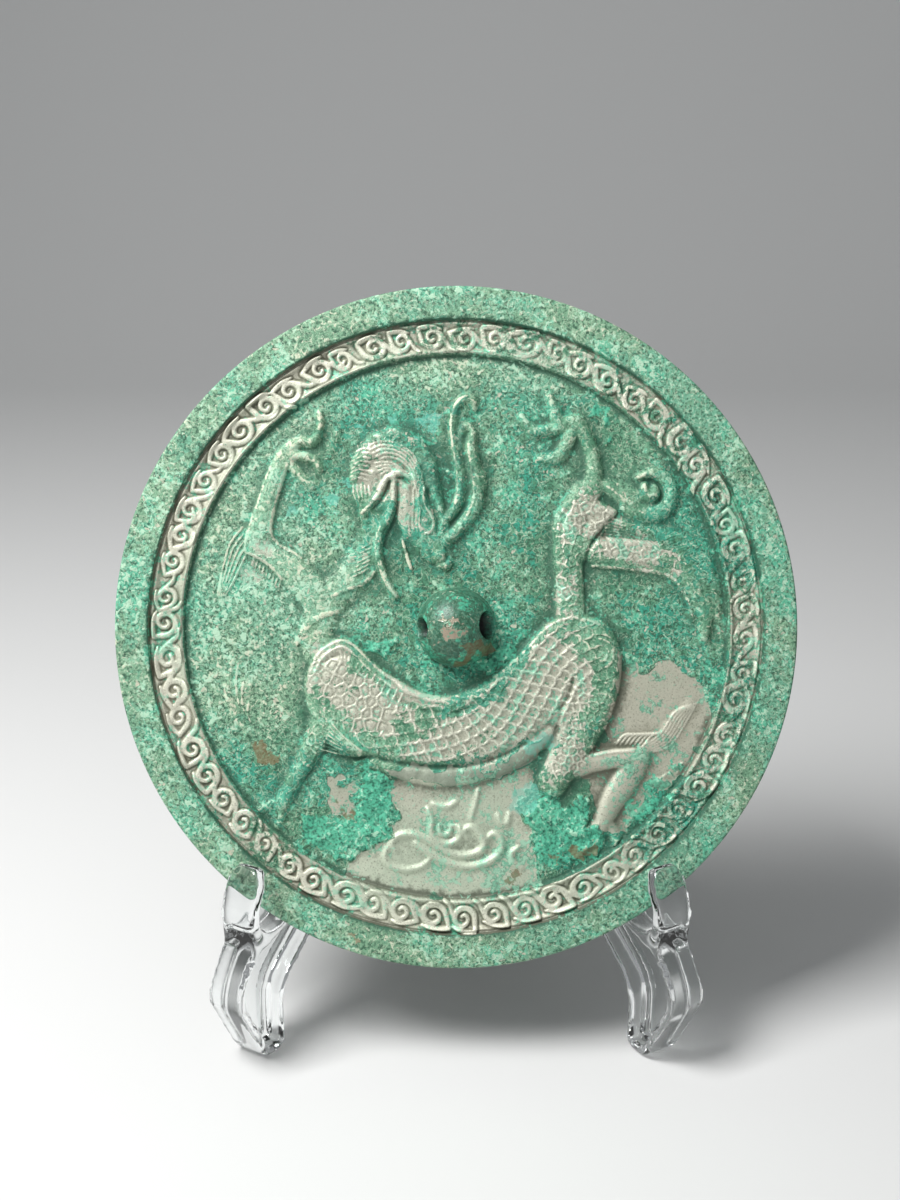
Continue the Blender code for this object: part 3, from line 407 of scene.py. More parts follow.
def shingles(along, across, size):
    """Overlapping scales, each climbing from 0 at its root to 1 at its rounded free edge."""
    pitch = 0.64 * size
    row = np.floor(along / pitch)
    climb = np.zeros_like(along)
    covered = np.zeros(along.shape, bool)
    for back in (1, 0, -1):
        shift = 0.5 * ((row - back) % 2)
        middle = (np.round(across / size - shift) + shift) * size
        beyond = np.clip(along - (row - back) * pitch, 0, None) / (0.66 * size)
        away = np.hypot((across - middle) / (0.5 * size), beyond)
        here = (away < 1) & ~covered
        climb = np.where(here, 0.1 + 0.35 * away ** 2 + 0.55 * step(0.72, 0.9, away), climb)
        covered |= here
    return climb


def net(x, y, size, seed):
    """A net of uneven cells: ridges of 1 on their borders, a groove beside them and a pad inside."""
    jitter = np.random.default_rng(seed).uniform(-0.28, 0.28, (64, 64, 2))
    column, row = np.floor(x / size).astype(int), np.floor(y / size).astype(int)
    first = np.full_like(x, np.inf)
    second = np.full_like(x, np.inf)
    for i in (-1, 0, 1):
        for j in (-1, 0, 1):
            shake = jitter[(row + j) % 64, (column + i) % 64]
            cx = (column + i + 0.5 + 0.5 * ((row + j) % 2) - 0.25 + shake[..., 0]) * size
            cy = (row + j + 0.5 + shake[..., 1]) * size
            away = np.hypot(x - cx, y - cy)
            second = np.minimum(second, np.maximum(first, away))
            first = np.minimum(first, away)
    inside = (second - first) / 2
    return np.clip(1 - (inside / NET_LINE) ** 2, 0, 1) + 0.6 * step(0.45, 1.0, inside)


def hair_lines(count, half_width, first, last):
    """Lines that run evenly from the first guide line to the last, tapering at their ends."""
    first, last = smooth_line(first, 3), smooth_line(last, 3)
    taper = half_width * np.minimum(1, 0.45 + 2.2 * np.sin(np.linspace(0, math.pi, len(first))))
    for share in np.linspace(0, 1, count):
        points = first + share * (last - first)
        yield np.column_stack([points, taper])


def band_scrolls():
    """Height of the band's scrolls over the map. No two are quite alike."""
    pitch = 2 * math.pi * SCROLL_RADIUS / SCROLL_COUNT
    in_band = (MAP_RADIUS > BAND_EDGE) & (MAP_RADIUS < RIM_EDGE)
    turn = -np.arctan2(MAP_Y[in_band], MAP_X[in_band])
    round_band = turn * SCROLL_RADIUS + 0.5 * np.sin(7 * turn + 1) + 0.4 * np.sin(23 * turn + 2)
    outwards = MAP_RADIUS[in_band] - SCROLL_RADIUS + 0.25 * np.sin(11 * turn) + 0.2 * np.sin(31 * turn)
    cell = np.floor(round_band / pitch)
    here = round_band - (cell + 0.5) * pitch
    change = np.random.default_rng(12).uniform(-1, 1, (SCROLL_COUNT, 4))
    ridge, wide = np.zeros_like(here), np.zeros_like(here)
    for shift in (-1, 0, 1):
        size, slide, tip, rise = change[((cell + shift) % SCROLL_COUNT).astype(int)].T
        x = (here - shift * pitch + 0.7 * slide) / (1 + 0.14 * size)
        y = outwards / (1 + 0.1 * size) + 0.3 * rise
        tip = 0.3 * tip
        x, y = x * np.cos(tip) - y * np.sin(tip), x * np.sin(tip) + y * np.cos(tip)
        for rows in SCROLL.values():
            rows = smooth_line(rows, 4)
            ridge = np.maximum(ridge, closeness(x, y, rows) * (0.85 + 0.15 * rise))
            wide = np.maximum(wide, closeness(x, y, rows + (0, 0, SCROLL_OUTLINE)))
    heights = np.zeros_like(MAP_X)
    heights[in_band] = SCROLL_HEIGHT * (1.5 * step(0, 0.4, ridge) - 0.5 * step(0, 0.3, wide))
    return heights


def skin():
    """Height of the scales, hair and folds that stand on the figure's forms."""
    heights = np.zeros_like(MAP_X)
    body, depth = inset(BODY[2], 1)
    on_body = np.zeros_like(MAP_X)
    on_body[body] = step(0.8, 2.2, depth)
    rows = smooth_line(SCALY)
    part = window(rows)
    x, y = MAP_X[part], MAP_Y[part]
    along, across = along_line(x, y, rows)
    inside = step(0, 0.2, closeness(x, y, rows)) * on_body[part]
    slanted = along * math.cos(SCALE_SLANT) + across * math.sin(SCALE_SLANT)
    abreast = across * math.cos(SCALE_SLANT) - along * math.sin(SCALE_SLANT)
    heights[part] = SCALE_HEIGHT * inside * shingles(slanted, abreast, SCALE_SIZE)
    for seed, (size, rows) in enumerate(NETTED.values()):
        rows = smooth_line(rows)
        part = window(rows)
        x, y = MAP_X[part], MAP_Y[part]
        inside = step(0, 0.3, closeness(x, y, rows))
        cells = NET_HEIGHT * inside * net(x, y, size, seed)
        heights[part] = np.where(inside > 0.5, cells, np.maximum(heights[part], cells))
    for count, half_width, height, first, last in HAIR.values():
        for line in hair_lines(count, half_width, first, last):
            part = window(line)
            ridge = height * closeness(MAP_X[part], MAP_Y[part], line) ** 0.7
            heights[part] = np.maximum(heights[part], ridge)
    rows = smooth_line(FORMS["belly"][1])
    part = window(rows)
    x, y = MAP_X[part], MAP_Y[part]
    along, _ = along_line(x, y, rows)
    fold = np.abs(along % BELLY_FOLD_STEP - BELLY_FOLD_STEP / 2)
    heights[part] += 0.16 * step(0.9, 1.4, fold) * step(0, 0.2, closeness(x, y, rows))
    return np.clip(heights, 0, None)


def inset(points, reach):
    """The part of the map within reach of an outline, and how far inside the outline it lies."""
    points = smooth_line(points + points[:1], 3)
    part = window(np.column_stack([points, np.full(len(points), reach)]))
    x, y = MAP_X[part], MAP_Y[part]
    away = np.full_like(x, np.inf)
    inside = np.zeros(x.shape, bool)
    for (x0, y0), (x1, y1) in zip(points[:-1], points[1:]):
        dx, dy = x1 - x0, y1 - y0
        along = np.clip(((x - x0) * dx + (y - y0) * dy) / (dx * dx + dy * dy), 0, 1)
        away = np.minimum(away, np.hypot(x - x0 - along * dx, y - y0 - along * dy))
        if y0 != y1:
            inside ^= ((y > y0) != (y > y1)) & (x < x0 + dx * (y - y0) / dy)
    return part, np.where(inside, away, -away)


def raise_outline(heights, height, edge, points):
    """Lift the map inside an outline to a plateau with a rounded edge."""
    part, depth = inset(points, 0)
    climb = 1 - np.clip(depth / edge, 0, 1)
    heights[part] = np.maximum(heights[part], height * np.sqrt(1 - climb ** 2))


def outline_field(points, softness):
    """1 inside an outline, 0 outside it and 0.5 on it, with a climb that many millimetres wide."""
    part, depth = inset(points, softness)
    field = np.zeros_like(MAP_X)
    field[part] = np.clip(0.5 + depth / softness, 0, 1)
    return field


def patches(outlines, softness):
    """The highest of several outlines' fields, with ragged borders."""
    field = np.maximum.reduce([outline_field(points, softness) for points in outlines])
    shift_x = 1.3 * grain(1.6, 21) + 0.7 * grain(0.6, 22)
    shift_y = 1.3 * grain(1.6, 23) + 0.7 * grain(0.6, 24)
    return sample(field, MAP_X + shift_x, MAP_Y + shift_y)


# Where the patina is broken, as outlines on the disc in millimetres
PALE = [
    [(-80, -10), (-76, 25), (-62, 52), (-44, 68), (-34, 66), (-40, 56), (-44, 44), (-46, 32), (-34, 22),
     (-29, 8), (-36, -3), (-46, -20), (-60, -28), (-74, -30)],
    [(-30, 80), (0, 82), (30, 80), (40, 70), (20, 68), (0, 70), (-16, 66)],
    [(20, -70), (30, -80), (0, -84), (-30, -80), (-34, -70), (-10, -50), (10, -48), (22, -56)],
]
BARE_METAL = [
    [(-23, -44.5), (-19, -47), (-17, -52), (-18, -59), (-23, -64), (-29, -67), (-34, -72), (-30, -77),
     (-12, -81), (8, -81), (24, -77), (24, -71), (20, -64), (22, -56), (19, -50), (22, -46), (24, -40),
     (15, -43.5), (5, -47), (-8, -47.5), (-16, -45)],
    [(48, -8), (54, -13), (62, -10), (70, -12), (74, -20), (73, -34), (67, -44), (60, -49), (53, -56),
     (47, -60), (43, -54), (40, -46), (36, -44), (42, -38), (46, -24)],
    [(-37, -46), (-34, -45), (-31, -49), (-31, -55), (-35, -55), (-38, -51)],
    [(30, -38), (44, -36), (57, -34), (59, -41), (52, -50), (47, -60), (41, -59), (44, -50), (48, -43),
     (34, -45)],
]
# Rubbed metal; the second outline, on the knob, is a painted highlight of bare metal
RUBBED_AND_HIGHLIGHT = [
    [(29, 2), (29.4, 14), (29, 22), (31, 26), (33, 22), (32.4, 12), (32, 2)],
    [(-7, -1), (-5, 4), (1, 2), (4, -3.2), (0, -7), (-5.6, -6)],
    [(-14, -38), (-12, -30), (-2, -24), (8, -22), (16, -16), (24, -6), (26, -1), (31, -3), (36, -8),
     (39, -16), (37, -26), (36, -34), (33, -42), (28, -48), (24, -46), (27, -36), (24, -33), (12, -39),
     (0, -41)],
    [(-43, -12), (-39, -6), (-32, -6), (-28, -12), (-20, -20), (-13, -26), (-18, -30), (-27, -30),
     (-35, -26), (-41, -20)],
    [(-20, -13), (-12, -18), (-4, -20.2), (6, -18.4), (12, -14), (9, -20), (2, -24.6), (-6, -25),
     (-15, -22.6)],
    [(-31, 48), (-27, 52), (-19, 53.6), (-14, 50), (-10.6, 44), (-9.4, 36), (-11, 28), (-16, 27),
     (-19, 34), (-24, 39), (-30, 40)],
    [(40, 24), (44, 29), (54, 27.6), (62, 23), (67, 16), (61, 17), (52, 18.6), (42, 19.6)],
    [(-62, 22), (-55, 26), (-50, 22), (-56, 16), (-66, 12)],
    [(33, 29), (36, 38), (42, 38), (46, 34), (40, 27)],
]
BELLY = [
    [(-22, -39.5), (-10, -41.4), (5, -41.4), (18, -37.6), (28, -31), (31, -28), (27, -36), (16, -42.6),
     (4, -47), (-8, -47.4), (-18, -44.6)],
]
CRUST = [
    [(-30, -39), (-24, -41), (-19, -45), (-16.5, -52), (-18, -60), (-24, -65), (-30, -69), (-40, -66),
     (-48, -60), (-42, -54), (-33, -58), (-29, -50)],
    [(21, -50), (29, -52), (38, -51), (41, -58), (44, -64), (40, -70), (30, -70), (22, -68), (20, -60)],
    [(4, -13), (12, -14), (20, -7), (19, -3), (12, -6)],
    [(38, 57), (45, 58), (46, 64), (40, 64)],
    [(47, -52), (57, -52), (58, -57), (50, -59)],
    [(-26, -3), (-18, -4), (-19, -8), (-25, -7)],
    [(57, -42), (63, -42), (63, -48), (58, -49)],
    [(-6.6, -7), (0, -8.2), (4.6, -5), (5.6, -1.6), (7, -3), (5, -7.4), (0, -9.8), (-6, -9)],
]
TURQUOISE = [
    [(-12, 58), (-7, 57), (-4, 61), (-8, 64), (-12, 62)],
    [(-5, 60), (-3.4, 61), (-4.4, 63.4), (-6, 62)],
    [(-28, 57), (-26, 57), (-25, 60), (-28, 59.6)],
    [(-20, 60), (-17, 60), (-17.4, 62.4), (-20, 61.6)],
    [(-51, 33), (-48, 32.6), (-47.6, 36), (-50.6, 36)],
    [(-36, 36), (-33, 36.6), (-33.4, 39.4), (-36, 39)],
    [(20, -33), (27, -30), (28, -34), (22, -38)],
    [(14, -50), (22, -46), (25, -50), (16, -54)],
]
SMOOTH = [
    [(-24, 56.6), (-17, 60), (-10, 57), (-6, 50), (-4, 42), (-3, 36), (-5, 33), (-7, 38), (-8.6, 45),
     (-12, 52), (-18, 56)],
    [(0, 38), (4, 40), (3.4, 50), (2.6, 60), (0.6, 62), (0.8, 52), (1.6, 44)],
]
EARTH = [
    [(-62, -34), (-57, -33), (-54, -38), (-57, -43), (-61, -41)],
    [(6.4, -3), (9, -5), (8.6, -9), (2, -11.6), (-4, -11), (2, -8.6)],
    [(14, -72.6), (18, -72.6), (17.6, -74.6), (14, -74.6)],
    [(31, -66.6), (40, -66), (40, -69), (31, -69)],
    [(-32, -53), (-30, -53), (-30.4, -55.6), (-32.4, -55)],
    [(-32, -87), (-25, -90.6), (-26, -92.6), (-33, -89.6)],
    [(0, -94.4), (12, -93.8), (12, -92.2), (0, -92.6)],
]

# How bare the band and the rim are: rows of the turn round the disc in degrees and the share
BAND_WORN = [(-180, 0.82), (-150, 0.66), (-125, 0.52), (-118, 0.84), (-60, 0.84), (-50, 0.54), (-20, 0.54),
             (20, 0.54), (40, 0.55), (75, 0.56), (95, 0.56), (120, 0.7), (180, 0.82)]
RIM_WORN = [(-180, 0.3), (-100, 0.34), (-60, 0.42), (30, 0.4), (60, 0.32), (180, 0.3)]

# Painted shade along the foot of each wall: rows of its radius and half width, and how dark it is
SEAMS = [(79.4, 0.7), (90.2, 0.5)]
SEAM_SHADE = 0.4


def carve_maps():
    """The maps of the carved side: its height over the turned shape, where each surface shows, and where
    highlight and shade are painted.
    """
    forms = np.zeros_like(MAP_X)
    raise_outline(forms, *BODY)
    raise_outline(forms, *HEAD)
    for height, rows in FORMS.values():
        raise_line(forms, rows, height)
    for height, x, y, radius in BUMPS.values():
        raise_line(forms, [(x - 0.1, y, radius), (x + 0.1, y, radius)], height)
    lines = np.zeros_like(MAP_X)
    for height, rows in RIDGES.values():
        raise_line(lines, rows, height)
    cuts = np.zeros_like(MAP_X)
    for depth, rows in GROOVES.values():
        raise_line(cuts, rows, depth)
    marks = blurred(lines + skin(), LINE_BLUR)
    carved = np.clip(blurred(forms, FORM_BLUR) - blurred(cuts, CUT_BLUR), 0, None) + marks
    wear = step(-0.8, 0.8, grain(9, 3) + 0.02 * (MAP_X - MAP_Y))
    figure = carved * (0.85 + 0.15 * wear) * step(KNOB_RADIUS, KNOB_RADIUS + 3, MAP_RADIUS)
    scrolls = band_scrolls() * (0.6 + 0.4 * step(-1, 1.2, grain(5, 4)))
    relief = np.where(MAP_RADIUS < BAND_EDGE, figure, 0) + blurred(scrolls, LINE_BLUR)

    crust = patches(CRUST, 5)
    bare = patches(BARE_METAL, 5)
    rubbed_and_highlight = patches(RUBBED_AND_HIGHLIGHT, 7)
    on_knob = MAP_RADIUS < KNOB_RADIUS
    lumps = np.clip(0.2 * grain(0.8, 5) + 0.25 * grain(2.2, 6) + 0.35, 0, 1) * step(0.45, 0.7, crust)
    pits = 0.045 * grain(0.9, 8) + 0.07 * grain(3.5, 9)
    smooth = 1 - 0.7 * np.maximum(step(0.4, 0.7, bare), 0.6 * step(0.3, 0.8, rubbed_and_highlight))
    height = relief + np.where(on_knob, 0.3, 1) * (lumps + pits * smooth)
    marks += 0.4 * (height - marks)
    marks = np.where(MAP_RADIUS < BAND_EDGE, marks, height)
    # Painted highlight and shade: fine ridges are painted lighter, and also wear through to metal, the low
    # ground beside them darker, and broad hollows darker still
    fine = marks - blurred(marks, 0.7)
    broad = height - blurred(height, 3)
    return {
        "height": height,
        "ridge": np.clip(0.5 + 1.4 * fine, 0, 1),
        "shaded_hollow": np.clip(0.5 - 0.5 * broad, 0, 1),
        "raised": step(0.2, 1.3, blurred(forms, FORM_BLUR)),
        "pale": patches(PALE, 12),
        "bare": bare,
        "rubbed_and_highlight": rubbed_and_highlight,
        "belly": patches(BELLY, 2),
        "crust": crust,
        "turquoise": patches(TURQUOISE, 3),
        "smooth": patches(SMOOTH, 2),
        "earth": patches(EARTH, 4),
    }


def sample(values, x, y):
    """The map's values at the points, smoothly between its places."""
    column = (x - AXIS[0]) / MAP_STEP
    row = (y - AXIS[0]) / MAP_STEP
    i = np.clip(column.astype(int), 0, len(AXIS) - 2)
    j = np.clip(row.astype(int), 0, len(AXIS) - 2)
    s, t = column - i, row - j
    low = values[j, i] * (1 - s) + values[j, i + 1] * s
    high = values[j + 1, i] * (1 - s) + values[j + 1, i + 1] * s
    return low * (1 - t) + high * t


def turned_rings():
    """Radius and height of the rings of the turned disc, from the knob's top round to the back."""
    rings = []
    knob_rings = round(math.pi / 2 * KNOB_RADIUS / RING_STEP)
    for i in range(1, knob_rings):
        angle = math.pi / 2 * i / knob_rings
        rings.append((KNOB_RADIUS * math.sin(angle), FIELD_THICKNESS + KNOB_HEIGHT * math.cos(angle)))
    for radius in np.arange(KNOB_RADIUS, BAND_EDGE - 0.01, RING_STEP):
        rings.append((radius, FIELD_THICKNESS))
    for radius in np.arange(BAND_EDGE, RIM_EDGE + 0.01, RING_STEP * 0.6):
        rise = step(BAND_EDGE, BAND_EDGE + 0.6, radius)
        wall = step(RIM_EDGE - 0.9, RIM_EDGE, radius)
        ridge = max(math.exp(-((radius - line) / BORDER_LINE_WIDTH) ** 2) for line in BORDER_LINES)
        height = FIELD_THICKNESS + (BAND_THICKNESS - FIELD_THICKNESS) * rise + BORDER_RIDGE * ridge
        rings.append((radius, height + (RIM_THICKNESS - height) * wall))
    for radius in np.arange(RIM_EDGE + RING_STEP, MIRROR_RADIUS - 1, RING_STEP):
        rings.append((radius, RIM_THICKNESS))
    for i in range(7):
        angle = math.pi / 2 * i / 6
        rings.append((MIRROR_RADIUS - RIM_ROUNDING + RIM_ROUNDING * math.sin(angle),
                      RIM_THICKNESS - RIM_ROUNDING + RIM_ROUNDING * math.cos(angle)))
    for height in np.arange(RIM_THICKNESS - 1.3, 0.6, -0.5):
        rings.append((MIRROR_RADIUS, height))
    for i in range(5):
        angle = math.pi / 2 * i / 4
        rings.append((MIRROR_RADIUS - BACK_ROUNDING + BACK_ROUNDING * math.cos(angle),
                      BACK_ROUNDING - BACK_ROUNDING * math.sin(angle)))
    for radius in np.arange(MIRROR_RADIUS - 2, 1, -BACK_RING_STEP):
        rings.append((radius, 0))
    return np.array(rings)


def closed_grid(name, points, front, back):
    """A closed mesh from rings of points, from the front pole to the back pole."""
    rings, steps = points.shape[:2]
    corner = np.arange(rings * steps).reshape(rings, steps)
    following = np.roll(corner, -1, axis=1)
    quads = np.stack([corner[:-1], corner[1:], following[1:], following[:-1]], -1).reshape(-1)
    front_index, back_index = rings * steps, rings * steps + 1
    cap = np.stack([np.full(steps, front_index), corner[0], following[0]], -1).reshape(-1)
    base = np.stack([np.full(steps, back_index), following[-1], corner[-1]], -1).reshape(-1)
    loops = np.concatenate([quads, cap, base])
    sizes = np.concatenate([np.full(len(quads) // 4, 4), np.full(2 * steps, 3)])
    places = np.vstack([points.reshape(-1, 3), [front, back]])
    mesh = bpy.data.meshes.new(name)
    mesh.vertices.add(len(places))
    mesh.vertices.foreach_set("co", places.ravel())
    mesh.loops.add(len(loops))
    mesh.loops.foreach_set("vertex_index", loops)
    mesh.polygons.add(len(sizes))
    mesh.polygons.foreach_set("loop_start", np.concatenate([[0], np.cumsum(sizes)[:-1]]))
    mesh.update(calc_edges=True)
    return mesh


def shown(name, mesh):
    obj = bpy.data.objects.new(name, mesh)
    bpy.context.scene.collection.objects.link(obj)
    return obj


def evaluated(obj, name):
    """A new object with the mesh that an object evaluates to. The object itself is removed."""
    depsgraph = bpy.context.evaluated_depsgraph_get()
    mesh = bpy.data.meshes.new_from_object(obj.evaluated_get(depsgraph))
    bpy.data.objects.remove(obj)
    return shown(name, mesh)


def mirror_place():
    """The disc's place in the frame, in metres. The solid's rounded back edge stops short of its corner."""
    height = RIM_ABOVE_FLOOR * MM + SOLID_RADIUS * MM * math.cos(LEAN)
    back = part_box("bronze_mirror")[1].y
    depth = back - SOLID_RADIUS * MM * math.sin(LEAN) + BACK_EDGE_LOSS * MM
    return Matrix.Translation((0, depth, height)) @ Matrix.Rotation(math.pi / 2 - LEAN, 4, "X")


def mirror_mesh(maps):
    """The carved disc in millimetres, thinned to its share of triangles and bored for the cord."""
    rings = turned_rings()
    turn = np.arange(TURN_STEPS) * 2 * math.pi / TURN_STEPS
    radius, height = rings[:, :1], rings[:, 1:]
    x, y = radius * np.cos(turn), radius * np.sin(turn)
    z = np.broadcast_to(height, x.shape).copy()
    carved = (height[:, 0] > FIELD_THICKNESS - 0.01) & (radius[:, 0] < MIRROR_RADIUS - 0.1)
    lift = sample(maps["height"], x[carved], y[carved])
    over_rim = radius[carved] > RIM_EDGE
    over_knob = radius[carved] < KNOB_RADIUS
    lift = np.where(over_rim | over_knob, np.clip(lift, -0.4, 0), lift)
    z[carved] += lift
    worn = sample(maps["height"], x[~carved] * 0.995, y[~carved] * 0.995)
    z[~carved] += np.where(height[~carved] < 0.01, np.clip(0.4 * worn, 0, 0.12), 0)
    mesh = closed_grid("mirror", np.stack([x, y, z], -1), (0, 0, FIELD_THICKNESS + KNOB_HEIGHT), (0, 0, 0))
    disc = shown("mirror", mesh)
    thin = disc.modifiers.new("thin", "DECIMATE")
    thin.ratio = MIRROR_TRIANGLES / (2 * rings.shape[0] * TURN_STEPS)

    left = Vector((CORD_HOLE_LEFT[0] - 1, -0.8, FIELD_THICKNESS + CORD_HOLE_LEFT[1]))
    right = Vector((CORD_HOLE_RIGHT[0] + 1, 0.8, FIELD_THICKNESS + CORD_HOLE_RIGHT[1]))
    across = np.array((right - left).to_track_quat("Z", "Y").to_matrix())
    turn = np.arange(48) * 2 * math.pi / 48
    circle = np.stack([np.cos(turn), np.sin(turn), np.zeros_like(turn)], -1) @ across.T
    hole_rings = []
    for t in np.linspace(1, 0, 16):
        hole_radius = CORD_HOLE_LEFT[2] * (1 - t) + CORD_HOLE_RIGHT[2] * t
        hole_rings.append(np.array(left.lerp(right, t)) + circle * hole_radius)
    cutter = shown("cord hole", closed_grid("cord hole", np.array(hole_rings), right, left))
    bore = disc.modifiers.new("cord hole", "BOOLEAN")
    bore.object = cutter
    disc = evaluated(disc, "mirror")
    bpy.data.objects.remove(cutter)
    return disc


def write_fields(mesh, maps):
    """Store where each surface shows, and where highlight and shade are painted, on the mesh's points, while
    it is still flat in millimetres.
    """
    places = np.empty(len(mesh.vertices) * 3)
    mesh.vertices.foreach_get("co", places)
    x, y, z = places.reshape(-1, 3).T
    front = step(0.6, 1.4, z)
    radius = np.hypot(x, y)
    turn = np.degrees(np.arctan2(y, x))
    in_band = step(BAND_EDGE + 0.4, BAND_EDGE + 1, radius) * step(RIM_EDGE, RIM_EDGE - 0.4, radius)
    band_bare = in_band * np.interp(turn, *zip(*BAND_WORN))
    fields = {name: sample(values, x, y) * front for name, values in maps.items() if name != "height"}
    fields["ridge"] = np.where(front > 0.5, fields["ridge"], 0.5)
    rim = step(RIM_EDGE - 0.4, RIM_EDGE + 0.2, radius)
    rim_bare = rim * np.interp(turn, *zip(*RIM_WORN))
    fields["bare"] = np.maximum(fields["bare"] * (radius < BAND_EDGE + 0.7), band_bare + rim_bare) * front
    # Painted shade along the foot of the band's and the rim's walls, added to the painted shade in hollows
    seams = [SEAM_SHADE * np.exp(-((radius - place) / width) ** 2) for place, width in SEAMS]
    fields["shaded_hollow"] = np.where(front > 0.5, fields["shaded_hollow"] + sum(seams), 0.5)
    fields["rim"] = rim * front
    # Painted shade on the walls of the cord hole, under the knob's dome
    under = (radius / KNOB_RADIUS) ** 2 + ((z - FIELD_THICKNESS) / KNOB_HEIGHT) ** 2
    fields["bore"] = step(0.85, 0.55, under) * (radius < KNOB_RADIUS)
    fields["knob"] = step(KNOB_RADIUS + 0.4, KNOB_RADIUS - 0.6, radius) * front
    fields["back"] = 1 - front
    for name, values in fields.items():
        layer = mesh.attributes.new(name, "FLOAT", "POINT")
        layer.data.foreach_set("value", values.astype(np.float32))


def linear(red, green, blue):
    """A colour given as it is seen, from 0 to 255, in the linear values that a shader takes."""
    return tuple(((c / 255 + 0.055) / 1.055) ** 2.4 for c in (red, green, blue))


class Value:
    """A socket of a material's nodes, so that shader maths reads as expressions."""

    def __init__(self, surface, socket):
        self.surface = surface
        self.socket = socket

    def maths(self, operation, *others):
        inputs = dict(enumerate((self, *others)))
        return self.surface.node("ShaderNodeMath", {"operation": operation}, inputs)

    def __add__(self, other):
        return self.maths("ADD", other)

    def __mul__(self, other):
        return self.maths("MULTIPLY", other)

    def __sub__(self, other):
        return self.maths("SUBTRACT", other)

    def __rsub__(self, other):
        return (self * -1) + other

    __radd__ = __add__
    __rmul__ = __mul__

    def size(self):
        """The value without its sign."""
        return self.maths("ABSOLUTE")

    def most(self, other):
        return self.maths("MAXIMUM", other)

    def between(self, low, high):
        """0 below low, 1 above high and a soft climb between them."""
        settings = {"interpolation_type": "SMOOTHSTEP"}
        return self.surface.node("ShaderNodeMapRange", settings, {0: self, 1: low, 2: high})


class Surface:
    """A material whose nodes are made by expressions and by one method."""

    def __init__(self, name):
        self.material = bpy.data.materials.new(name)
        self.material.use_nodes = True
        self.tree = self.material.node_tree
        self.shader = self.tree.nodes["Principled BSDF"]
        self.place = self.node("ShaderNodeTexCoord", output="Object")

    def node(self, kind, settings=None, inputs=None, output=0):
        """A node of that kind, with its settings and inputs, as the value of one output."""
        node = self.tree.nodes.new(kind)
        for name, value in (settings or {}).items():
            setattr(node, name, value)
        for key, value in (inputs or {}).items():
            self.feed(node.inputs[key], value)
        return Value(self, node.outputs[output])

    def feed(self, socket, value):
        if isinstance(value, Value):
            self.tree.links.new(value.socket, socket)
        else:
            socket.default_value = value

    def set(self, **inputs):
        """Feed the shader's inputs, named with _ for each space."""
        for name, value in inputs.items():
            self.feed(self.shader.inputs[name.replace("_", " ")], value)

    def noise(self, size, detail=2.0, roughness=0.5, distortion=0.0, seed=0):
        """Noise whose marks are about that many metres across."""
        inputs = {"Vector": self.place, "W": seed * 7.3, "Scale": 1 / size, "Detail": detail,
                  "Roughness": roughness, "Distortion": distortion}
        return self.node("ShaderNodeTexNoise", {"noise_dimensions": "4D"}, inputs)

    def field(self, name):
        """A field stored on the mesh's points."""
        return self.node("ShaderNodeAttribute", {"attribute_name": name}, output="Fac")

    def mix(self, share, first, second):
        """The first colour where the share is 0 and the second where it is 1."""
        colors = [c if isinstance(c, Value) else (*c, 1) for c in (first, second)]
        inputs = {0: share, 6: colors[0], 7: colors[1]}
        return self.node("ShaderNodeMix", {"data_type": "RGBA"}, inputs, output=2)

    def bump(self, height, distance, strength=1.0):
        inputs = {"Height": height, "Distance": distance, "Strength": strength}
        return self.node("ShaderNodeBump", inputs=inputs)


